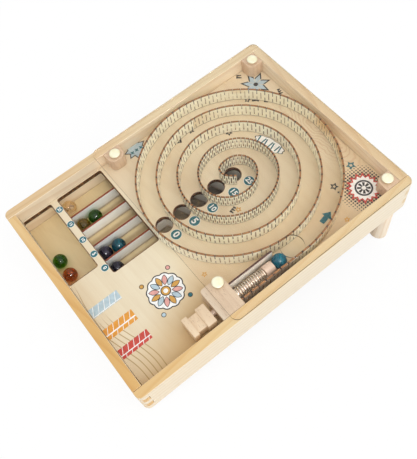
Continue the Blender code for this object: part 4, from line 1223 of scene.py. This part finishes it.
# %% Cover screws
SHANK_RADIUS = 0.00175
for corner in ("rear_left", "rear_right", "front_left", "front_right"):
    name = f"cover_screw_{corner}"
    low, high = tray_box(name)
    head = (high.x - low.x) / 2
    seat = high.z - 0.0014
    profile = [
        (0.0006, low.z), (SHANK_RADIUS, low.z + 0.003), (SHANK_RADIUS, seat), (head, seat),
        (head, high.z - 0.00035), (head * 0.82, high.z - 0.0001), (0.0003, high.z),
    ]
    screw = lathe(name + "_turned", softened(profile, 0.00045), ((low.x + high.x) / 2, (low.y + high.y) / 2, 0))
    place_piece(name + "_turned", screw, [SCREW_BRASS], "tray", "brass", name)

# %% [markdown]
# The legs are dowels that end in a slanted cut, so that they stand flat on
# the table. A ring of points at each height makes one, and the lowest ring
# follows the table's slope in the tray's frame.

# %% Legs
FOOT_LEVELS = ((0.0012, 0.0), (0.0008, 0.0), (0.0003, 0.0002), (0.0, 0.0008))
HEAD_LEVELS = ((0.0, 0.0004), (0.0004, 0.0))


def leg_mesh(name, node):
    low, high = tray_box(node)
    x, y = (low.x + high.x) / 2, (low.y + high.y) / 2
    radius, slope = (high.x - low.x) / 2, math.tan(TILT)
    rings = []
    for inset, lift in FOOT_LEVELS:
        ring = ring_of(radius - inset, 96)
        rings.append([(x + a, y + b, low.z + (radius - b) * slope + lift) for a, b in ring])
    for inset, drop in HEAD_LEVELS:
        rings.append([(x + a, y + b, high.z - drop) for a, b in ring_of(radius - inset, 96)])
    return skin(name, rings, 40)


for side in ("left", "right"):
    name = f"leg_{side}"
    place_piece(name + "_turned", leg_mesh(name + "_turned", name), [LEG_PINE], "tray", "frame_wood", name)
    finish_solid(f"leg_screw_{side}", SCREW_STEEL)

# %% [markdown]
# The marbles are glass, 16 mm across. Clear and coloured ones are a
# transmitting shader whose colour drifts a little through the ball, and each
# holds a faint twisted wisp, as pressed marbles do. The dark ones are nearly
# opaque, with bands of two tones drawn out by noise under a glossy skin.

# %% Marble glass
def clear_glass(name, light, dark, tint, centre):
    material, tree = new_material(name, Transmission_Weight=0.90, IOR=1.40)
    vector = tray_vector(tree, shift=tuple(-c for c in centre))
    colour = mixed(span(scaled_noise(vector, 90.0, 1.0), 0.25, 0.75), tone(*light), tone(*dark))
    scuff = scaled_noise(vector, 900.0)
    return lets_light_through(dress(material, colour, span(scuff, 0.60, 0.80, 0.0, 0.06)), tint)


def opaque_glass(name, light, dark, centre):
    material, tree = new_material(name, IOR=1.45)
    vector = tray_vector(tree, shift=tuple(-c for c in centre))
    warp = put(tree, "ShaderNodeTexNoise", {"Vector": vector, "Scale": 120.0, "Detail": 2.0}, 1)
    moved = vectors("ADD", vector, vectors("SCALE", warp, 0.012))
    band = span(scaled_noise(moved, (60.0, 240.0, 140.0)), 0.40, 0.62)
    scuff = scaled_noise(vector, 900.0)
    return dress(material, mixed(band, tone(*dark), tone(*light)), span(scuff, 0.55, 0.80, 0.01, 0.06))


def wisp_finish(name, light, dark):
    material, tree = new_material(name, Transmission_Weight=0.6, IOR=1.5)
    vein = scaled_noise(tray_vector(tree), 500.0)
    colour = mixed(span(vein, 0.35, 0.65), tone(*light), tone(*dark))
    return dress(material, colour, span(vein, 0.3, 0.7, 0.2, 0.4))


print("glass finishes are ready")

# %% [markdown]
# A ball is an icosphere pushed out to the true radius, so it is round from
# every side and has no poles. The wisp is a narrow ribbon that turns about a
# tilted axis and fades to a point before it meets the surface.

# %% Marbles
def ball_mesh(name, centre, radius):
    work = bmesh.new()
    bmesh.ops.create_icosphere(work, subdivisions=5, radius=radius)
    bmesh.ops.translate(work, verts=work.verts, vec=centre)
    return finished_mesh(name, work)


def wisp_mesh(name, centre, radius, turn):
    thick = 0.00022
    tilt = Matrix.Rotation(turn, 3, "Z") @ Matrix.Rotation(1.1, 3, "X")
    rows = []
    for k in range(33):
        t = k / 32 * 2 - 1
        half = 0.34 * radius * math.sqrt(max(1 - t * t, 0.0)) + 0.00005
        angle = 2.2 * t + turn
        row = []
        for across, lift in ((-1, 0), (0, 1), (1, 0), (0, -1)):
            x = half * across * math.cos(angle) - thick * lift * math.sin(angle)
            y = half * across * math.sin(angle) + thick * lift * math.cos(angle)
            row.append(Vector(centre) + tilt @ Vector((x, y, t * 0.66 * radius)))
        rows.append(row)
    return skin(name, rows, 60)


CLEAR_MARBLES = {
    "marble_lane25_clear": ((244, 232, 206), (232, 214, 184), (244, 232, 208), (222, 200, 166)),
    "marble_lane15_olive": ((184, 164, 84), (156, 136, 62), (200, 184, 120), (140, 124, 58)),
    "marble_lane15_green": ((84, 140, 26), (58, 108, 18), (128, 180, 70), (84, 124, 34)),
    "marble_tray_green": ((90, 150, 16), (60, 116, 10), (130, 186, 60), (92, 136, 26)),
    "marble_tray_amber": ((212, 136, 66), (170, 96, 42), (226, 176, 124), (190, 126, 74)),
}
OPAQUE_MARBLES = {
    "marble_lane5_navy": ((46, 34, 56), (18, 14, 26)),
    "marble_lane5_teal": ((4, 86, 98), (3, 48, 60)),
    "marble_lane0_navy": ((42, 36, 54), (18, 16, 26)),
    "marble_launch_teal": ((10, 116, 136), (4, 84, 104)),
}
for order, name in enumerate(sorted([*CLEAR_MARBLES, *OPAQUE_MARBLES])):
    low, high = tray_box(name)
    centre = (low + high) / 2
    radius = max(high.x - low.x, high.z - low.z) / 2
    slot = "glass_" + name.rsplit("_", 1)[1]
    if name in OPAQUE_MARBLES:
        finish = opaque_glass(name + "_glass", *OPAQUE_MARBLES[name], centre)
    else:
        light, dark, tint, vein = CLEAR_MARBLES[name]
        finish = clear_glass(name + "_glass", light, dark, tint, centre)
        wisp = wisp_mesh(name + "_wisp", centre, radius, 0.9 * order)
        place_piece(name + "_wisp", wisp, [wisp_finish(name + "_vein", vein, dark)], name, slot)
    place_piece(name + "_ball", ball_mesh(name + "_ball", centre, radius), [finish], name, slot, name)
print("marbles:", len(CLEAR_MARBLES) + len(OPAQUE_MARBLES))

# %% [markdown]
# The board is screen printed: scores beside the holes and below the lanes,
# an arrow up the launch lane, three striped bars and some plain ornament. An
# ink film has almost no thickness, so each colour is a thin sheet of flat
# shapes just over the board, and later colours lie a hair above earlier ones.
# The ink is slightly uneven, and the wood's fibres show through it.

# %% Printing inks
def ink(name, colour, grain_through=0.10):
    material, tree = new_material(name)
    vector = tray_vector(tree)
    fibre = scaled_noise(vector, (60.0, 900.0, 900.0))
    pool = scaled_noise(vector, 300.0)
    base = mixed(span(pool, 0.3, 0.7), tone(*colour), tone(*[v * 0.93 for v in colour]))
    colour = mixed(span(fibre, 0.45, 0.75) * grain_through, base, tone(222, 200, 164))
    return dress(material, colour, span(pool, 0.3, 0.7, 0.38, 0.55), fibre, 0.00005, 0.3)


INKS = {
    "teal": ink("ink_teal", (18, 106, 118)),
    "pale": ink("ink_pale", (255, 255, 252), 0.04),
    "blue": ink("ink_blue", (186, 208, 218)),
    "orange": ink("ink_orange", (232, 158, 52)),
    "red": ink("ink_red", (204, 66, 54)),
    "black": ink("ink_black", (30, 29, 34)),
    "gold": ink("ink_gold", (214, 160, 72)),
    "pink": ink("ink_pink", (232, 168, 160)),
}
print("inks:", ", ".join(INKS))

# %% [markdown]
# Shapes are plain lists of corners. One helper collects them by ink, each at
# its layer, others make discs and stars, and one draws a closed outline as a
# band of even width. Whatever runs past an edge is cut off corner by corner.

# %% Collect printed shapes
PRINTED = {colour: [] for colour in INKS}
INK_LIFT = 0.00004
LAYER_LIFT = 0.00003


def layer_height(layer):
    return BOARD_TOP + INK_LIFT + LAYER_LIFT * layer


def moved(corners, x, y, turn=0.0, size=1.0):
    c, s = math.cos(turn) * size, math.sin(turn) * size
    return [(x + px * c - py * s, y + px * s + py * c) for px, py in corners]


def print_shape(colour, corners, layer=0, x=0.0, y=0.0, turn=0.0, size=1.0):
    PRINTED[colour].append([(*corner, layer_height(layer)) for corner in moved(corners, x, y, turn, size)])


def disc(radius, steps=48):
    return ring_of(radius, steps)


def star(points, outer, inner):
    corners = []
    for k in range(2 * points):
        reach = inner if k % 2 else outer
        angle = math.pi / 2 + math.pi * k / points
        corners.append((reach * math.cos(angle), reach * math.sin(angle)))
    return corners


def print_band(colour, corners, share, x, y, turn=0.0, layer=0):
    inner = [(px * share, py * share) for px, py in corners]
    for k in range(len(corners)):
        after = (k + 1) % len(corners)
        print_shape(colour, [corners[k], corners[after], inner[after], inner[k]], layer, x, y, turn)


def clipped(corners, low, high):
    for limit, side in ((low, 1), (high, -1)):
        kept = []
        for (ax, ay), (bx, by) in zip(corners, corners[1:] + corners[:1]):
            a_in, b_in = (ay - limit) * side >= 0, (by - limit) * side >= 0
            if a_in:
                kept.append((ax, ay))
            if a_in != b_in:
                share = (limit - ay) / (by - ay)
                kept.append((ax + (bx - ax) * share, limit))
        corners = kept
        if not corners:
            break
    return corners


print("layers lie this many mm apart:", LAYER_LIFT * 1000)

# %% [markdown]
# The scores are a pale disc, a teal disc on it and a pale number on that.
# Blender's own font draws the numbers; they are made a mesh at once, and a
# small offset makes them bold.

# %% Score discs and numbers
NUMBERS = []
SCORES = ("0", "5", "10", "15", "25")
HOLE_DISC_YS = (-0.0445, -0.0200, 0.0044, 0.0336, 0.0553)
LANE_DISC_XS = (-0.0119, -0.0329, -0.0550, -0.0795, -0.1033)


def print_number(text, x, y, size, layer):
    curve = bpy.data.curves.new("number_" + text, "FONT")
    curve.body = text
    curve.size = size
    curve.offset = size * 0.030
    curve.align_x = "CENTER"
    curve.align_y = "CENTER"
    curve.resolution_u = 4
    carrier = bpy.data.objects.new("number_" + text, curve)
    bpy.context.scene.collection.objects.link(carrier)
    evaluated = carrier.evaluated_get(bpy.context.evaluated_depsgraph_get())
    mesh = bpy.data.meshes.new_from_object(evaluated)
    bpy.data.objects.remove(carrier)
    mesh.transform(Matrix.Translation((x, y, layer_height(layer))))
    NUMBERS.append(mesh)


def print_score(text, x, y, radius, sizes):
    print_shape("pale", disc(radius), 0, x, y)
    print_shape("teal", disc(radius * 0.93), 1, x, y)
    print_number(text, x, y, radius * sizes[len(text) - 1], 2)


for text, y, label_x in zip(SCORES, HOLE_DISC_YS, LANE_DISC_XS):
    print_score(text, 0.0063, y, 0.0062, (1.7, 1.35))
    print_score(text, label_x, -0.1243, 0.0042, (1.35, 1.15))
print("numbers:", len(NUMBERS))

# %% [markdown]
# The arrow and the bars are straight-edged. A bar is a row of slanted rungs
# cut off at its own two ends.

# %% Arrow and striped bars
ARROW = (
    (-0.0022, -0.0062), (0.0022, -0.0062), (0.0022, 0.0005), (0.0047, 0.0005), (0, 0.0066), (-0.0047, 0.0005),
    (-0.0022, 0.0005),
)
BAR_ENDS = (-0.1640, -0.1292)
BARS = {
    "blue": ((0.0161, 0.0259), (0.0267, 0.0273)),
    "orange": ((0.0431, 0.0504), (0.0518, 0.0560)),
    "red": ((0.0697, 0.0767), (0.0777, 0.0809)),
}
print_shape("teal", ARROW, 0, 0.0934, 0.0868, 0.2, 1.28)


def print_bar(colour, left, right, slope=0.5, pitch=0.0067, gap=0.0007, layer=1):
    drop = slope * (right - left)
    for k in range(-1, 8):
        top = BAR_ENDS[1] + 0.004 - k * pitch
        bottom = top - pitch + gap
        rung = clipped([(left, bottom), (right, bottom - drop), (right, top - drop), (left, top)], *BAR_ENDS)
        if len(rung) > 2:
            print_shape(colour, rung, layer)


for colour, edges in BARS.items():
    print_bar("pale", edges[0][0], edges[-1][1], gap=0.0, layer=0)
    for left, right in edges:
        print_bar(colour, left, right)
print("rungs printed:", sum(len(PRINTED[colour]) for colour in BARS))

# %% [markdown]
# The rest of the print is plain ornament of this lesson's own. A petal
# rosette stands on the bare board, with a small disc at each corner.

# %% Rosette
ROSETTE = (0.0500, -0.0905)
ROSETTE_SIZE = 0.0205


def petal(inner, outer, half, steps=10):
    shares = [k / steps for k in range(steps + 1)]
    side = [(inner + (outer - inner) * t, half * math.sin(math.pi * t) ** 0.8) for t in shares[:-1]]
    side.append((outer, 0.0))
    return side + [(x, -y) for x, y in reversed(side[1:-1])]


def wavy(length, width, steps, depth, waves, wave):
    corners = []
    for k in range(steps):
        angle = 2 * math.pi * k / steps
        reach = 1 - depth + depth * abs(wave(waves * angle))
        corners.append((length * reach * math.cos(angle), width * reach * math.sin(angle)))
    return corners


def print_rosette(x, y, size):
    scallops = wavy(size, size, 144, 0.07, 6, math.cos)
    print_shape("black", scallops, 0, x, y)
    print_shape("pale", scallops, 1, x, y, size=0.94)
    for k in range(12):
        turn = 2 * math.pi * k / 12
        print_shape("black", petal(0.30 * size, 0.88 * size, 0.150 * size), 2, x, y, turn)
        colour = ("gold", "blue", "pink")[k % 3]
        print_shape(colour, petal(0.34 * size, 0.84 * size, 0.115 * size), 3, x, y, turn)
    for layer, (colour, radius) in enumerate((("black", 0.27), ("gold", 0.22), ("pale", 0.12)), start=2):
        print_shape(colour, disc(radius * size), layer, x, y)


print_rosette(*ROSETTE, ROSETTE_SIZE)
for k, colour in enumerate(("teal", "pink", "gold", "blue")):
    angle = 0.785 + k * math.pi / 2
    x, y = ROSETTE[0] + 0.0275 * math.cos(angle), ROSETTE[1] + 0.0235 * math.sin(angle)
    print_shape("black", disc(0.0026, 24), 0, x, y)
    print_shape(colour, disc(0.0019, 24), 1, x, y)
print("rosette width in mm:", ROSETTE_SIZE * 2000)

# %% [markdown]
# Round the track stand a sunburst in the near corner, a pinwheel in the far
# one, a cloud with plain marks between the turns, a burst at the left edge,
# and a few small outline stars and strokes.

# %% Corner ornaments
def print_sunburst(x, y, size, rays, turn):
    print_shape("red", star(rays, size, size * 0.72), 1, x, y, turn)
    print_shape("pale", star(rays, size * 0.80, size * 0.64), 2, x, y, turn)
    print_band("black", disc(size * 0.50), 0.80, x, y, 0.0, 3)
    ray = [(0.12, -0.045), (0.36, -0.075), (0.36, 0.075), (0.12, 0.045)]
    for k in range(8):
        print_shape("black", ray, 3, x, y, turn + k * math.pi / 4, size)


def print_pinwheel(x, y, size, blades, turn):
    blade = [(0, 0), (size * 0.45, size * 0.24), (size, size * 0.02), (size * 0.55, -size * 0.18)]
    for k in range(blades):
        angle = turn + 2 * math.pi * k / blades
        print_shape("black", blade, 0, x, y, angle, 1.10)
        print_shape("blue", blade, 1, x, y, angle, 0.88)
    print_shape("black", disc(size * 0.16), 2, x, y)


def print_cloud(x, y, length, width, turn):
    edge = wavy(length, width, 96, 0.10, 4.5, math.sin)
    print_shape("black", edge, 0, x, y, turn)
    print_shape("pale", edge, 1, x, y, turn, 0.94)
    foot, head = width * -0.55, width * 0.55
    for k in range(7):
        near = (k - 3) * length * 0.23
        far = near + (0.0014 if k % 2 else -0.0014)
        mark = [(near - 0.0006, foot), (near + 0.0009, foot), (far + 0.0012, head), (far - 0.0003, head)]
        print_shape("teal", mark, 2, x, y, turn)


def print_burst(x, y, size, rays, turn):
    for layer, (colour, share) in enumerate((("black", 1.0), ("blue", 0.84))):
        corners = moved(star(rays, size * share, size * 0.66 * share), x, y, turn)
        kept = clipped([(py, px) for px, py in corners], BOARD_LOW.x + 0.0003, BOARD_HIGH.x)
        print_shape(colour, [(px, py) for py, px in kept], layer)
    for k in (-1, 0, 1):
        print_shape("teal", star(4, size * 0.20, size * 0.09), 2, x + 0.0022, y + 0.0058 * k, 0.4)


def print_strokes(x, y, turn, count, length):
    for k in range(count):
        reach = length * (1 - 0.12 * k)
        stroke = [(0.0, -0.0012), (reach, -0.0006), (reach, 0.0006), (0.0, 0.0016)]
        shift = 0.0026 * k
        print_shape("black", stroke, 0, x - shift * math.sin(turn), y + shift * math.cos(turn), turn + 0.18 * k)


BURST = (0.0935, 0.1405)
STARS = (
    ("teal", 0.0642, 0.1500, 0.2, 0.0056), ("black", 0.0718, 0.1184, 0.5, 0.0050),
    ("gold", 0.0262, 0.0238, 0.1, 0.0040), ("black", -0.0578, 0.0788, 0.4, 0.0044),
    ("black", -0.0892, 0.0481, 0.2, 0.0044), ("black", -0.0795, 0.1240, 0.7, 0.0042),
    ("gold", 0.1094, 0.1012, 0.9, 0.0036), ("gold", 0.0615, -0.0496, 0.3, 0.0034),
)
STROKES = (
    (-0.0837, 0.0294, 2.6), (-0.0750, 0.1272, 0.9), (-0.0650, 0.1371, 0.6), (-0.0616, 0.1570, 1.2),
    (0.0215, 0.0161, 0.2), (-0.1140, 0.1353, 0.8), (-0.0700, 0.1315, 1.9),
)
print_sunburst(*BURST, 0.0195, 16, 0.1)
print_pinwheel(-0.0905, 0.1460, 0.0170, 7, 0.3)
print_cloud(-0.0150, 0.1025, 0.0200, 0.0078, 0.24)
print_burst(-0.1120, -0.0146, 0.0145, 9, 0.2)
for colour, x, y, turn, size in STARS:
    print_band(colour, star(5, size, size * 0.52), 0.42, x, y, turn)
print_shape("black", star(4, 0.0018, 0.0008), 0, 0.0800, 0.1170)
for x, y, turn in STROKES:
    print_strokes(x, y, turn, 2 if x < -0.09 else 3, 0.0066 if x < -0.08 else 0.0048)
print("shapes so far:", sum(len(shapes) for shapes in PRINTED.values()))

# %% [markdown]
# Now each ink becomes one mesh. The shapes face up and lie on the board.

# %% Print the shapes
def flat_mesh(name, shapes):
    work = bmesh.new()
    for corners in shapes:
        face = work.faces.new([work.verts.new(corner) for corner in corners])
        face.normal_update()
        if face.normal.z < 0:
            face.normal_flip()
    mesh = bpy.data.meshes.new(name)
    work.to_mesh(mesh)
    work.free()
    return mesh


for colour, shapes in PRINTED.items():
    place_piece(f"print_{colour}", flat_mesh(f"print_{colour}", shapes), [INKS[colour]], "tray", "board_ply")
work = bmesh.new()
for mesh in NUMBERS:
    work.from_mesh(mesh)
numbers = bpy.data.meshes.new("print_numbers")
work.to_mesh(numbers)
work.free()
place_piece("print_numbers", numbers, [INKS["pale"]], "tray", "board_ply")

# %% [markdown]
# The halftone is a square grid of dots that shrink away from a centre. The
# tree makes the grid, drops the points that would be too small, off the board
# or inside the track, and puts one dot on each, scaled by its distance.

# %% Halftone tree
SMALLEST_DOT = 0.19


def make_halftone():
    tree, given, out = new_shape_tree(
        "halftone_dots",
        (
            ("Width", "Float"), ("Depth", "Float"), ("Pitch", "Float"), ("Largest Dot", "Float"),
            ("Reach", "Float"), ("Right Room", "Float"), ("Back Room", "Float"), ("Track Centre", "Vector"),
            ("Track Reach", "Vector"), ("Material", "Material"),
        ),
    )
    across, deep = [maths("ROUND", given[side] / given["Pitch"]) + 1.0 for side in ("Width", "Depth")]
    sockets = {"Size X": given["Width"], "Size Y": given["Depth"], "Vertices X": across, "Vertices Y": deep}
    points = put(tree, "GeometryNodeMeshGrid", sockets)
    place = place_in(tree)
    size = span(vectors("LENGTH", place, output="Value"), 0.0, given["Reach"], 1.0, 0.0, smooth=False)
    x, y, _ = parts_of(place)
    shares = vectors("DIVIDE", vectors("SUBTRACT", place, given["Track Centre"]), given["Track Reach"])
    on_track = vectors("LENGTH", shares, output="Value") < 1.0
    unwanted = size < SMALLEST_DOT
    for reason in (x > given["Right Room"], y > given["Back Room"], on_track):
        unwanted = maths("MAXIMUM", unwanted, reason)
    sockets = {"Geometry": points, "Selection": unwanted}
    points = put(tree, "GeometryNodeDeleteGeometry", sockets, domain="POINT")
    sockets = {"Vertices": 12, "Radius": given["Largest Dot"] * 0.5}
    dot = put(tree, "GeometryNodeMeshCircle", sockets, fill_type="NGON")
    sockets = {"Points": points, "Instance": dot, "Scale": xyz(size, size, 1.0)}
    end_shape(out, put(tree, "GeometryNodeInstanceOnPoints", sockets), given["Material"])
    return tree


values = {
    "Width": 0.060, "Depth": 0.060, "Pitch": 0.0030, "Largest Dot": 0.0052, "Reach": 0.0350,
    "Right Room": BOARD_HIGH.x - BURST[0] - 0.001, "Back Room": BOARD_HIGH.y - BURST[1] - 0.001,
    "Track Centre": (SPIRAL_CENTRE[0] - BURST[0], SPIRAL_CENTRE[1] - BURST[1], 0.0),
    "Track Reach": (*SPIRAL_REACH, 1.0), "Material": INKS["black"],
}
dots = run_tree(make_halftone(), "print_halftone", line_mesh("seed", [(0, 0, 0), (0, 0, 1)]), values)
dots.transform(Matrix.Translation((*BURST, layer_height(0))))
place_piece("print_halftone", dots, [INKS["black"]], "tray", "board_ply")

# %% [markdown]
# The scene is a plain studio: a white floor, a soft key light from the right,
# a small lamp by the camera for the sparkle in the glass, and an even sky.
# Camera and transmission rays see pure white, while the light that falls on
# the game and its reflections stay at a plain level.

# %% Studio
SKY = 0.78
WHITE = (1.0, 1.0, 1.0, 1.0)
scene = bpy.context.scene
scene.view_settings.view_transform = "Standard"


def seen_directly(tree):
    path = add(tree, "ShaderNodeLightPath").outputs
    return maths("MAXIMUM", Signal(path["Is Camera Ray"]), Signal(path["Is Transmission Ray"]))


world = bpy.data.worlds.new("studio")
scene.world = world
world.use_nodes = True
background = world.node_tree.nodes["Background"]
background.inputs["Color"].default_value = WHITE
feed(background, "Strength", span(seen_directly(world.node_tree), 0.0, 1.0, SKY, 1.0, smooth=False))

floor_paper, tree = new_material("floor_paper", Roughness=0.9)
speck = scaled_noise(put(tree, "ShaderNodeTexCoord", output="Object"), 30.0)
feed(shader_of(floor_paper), "Base Color", mixed(speck, tone(250, 250, 250), tone(246, 246, 246)))
glow = put(tree, "ShaderNodeEmission", {"Color": WHITE, "Strength": 1.0})
sockets = {0: seen_directly(tree) * 0.90, 1: Signal(shader_of(floor_paper).outputs[0]), 2: glow}
feed(tree.nodes["Material Output"], "Surface", put(tree, "ShaderNodeMixShader", sockets))
floor_mesh = bpy.data.meshes.new("studio_floor")
floor_mesh.from_pydata([(x, y, -0.0004) for x, y in ((-4, -4), (4, -4), (4, 4), (-4, 4))], [], [(0, 1, 2, 3)])
floor_mesh.materials.append(floor_paper)
floor = bpy.data.objects.new("studio_floor", floor_mesh)
scene.collection.objects.link(floor)
print("sky strength:", SKY)

# %% [markdown]
# A sun lamp with a wide angle gives the key light its soft, even shadows at
# any distance. The sparkle lamp is a small square near the camera, which
# shows in glass and metal only and adds nothing to the matt surfaces.

# %% Lamps
def lamp(name, kind, power, direction, place=(0.0, 0.0, 0.0)):
    data = bpy.data.lights.new(name, kind)
    data.energy = power
    holder = bpy.data.objects.new(name, data)
    holder.location = place
    holder.rotation_euler = Vector(direction).to_track_quat("Z", "Y").to_euler()
    scene.collection.objects.link(holder)
    return holder


lamp("key", "SUN", 1.16, (0.70, -0.05, 1.0)).data.angle = math.radians(80)
sparkle_place = (0.62, -0.30, 0.95)
sparkle = lamp("sparkle", "AREA", 9.0, Vector(sparkle_place) - Vector((0.0, 0.0, 0.05)), sparkle_place)
sparkle.data.size = 0.30
sparkle.visible_diffuse = False
print("lamps: key and sparkle")
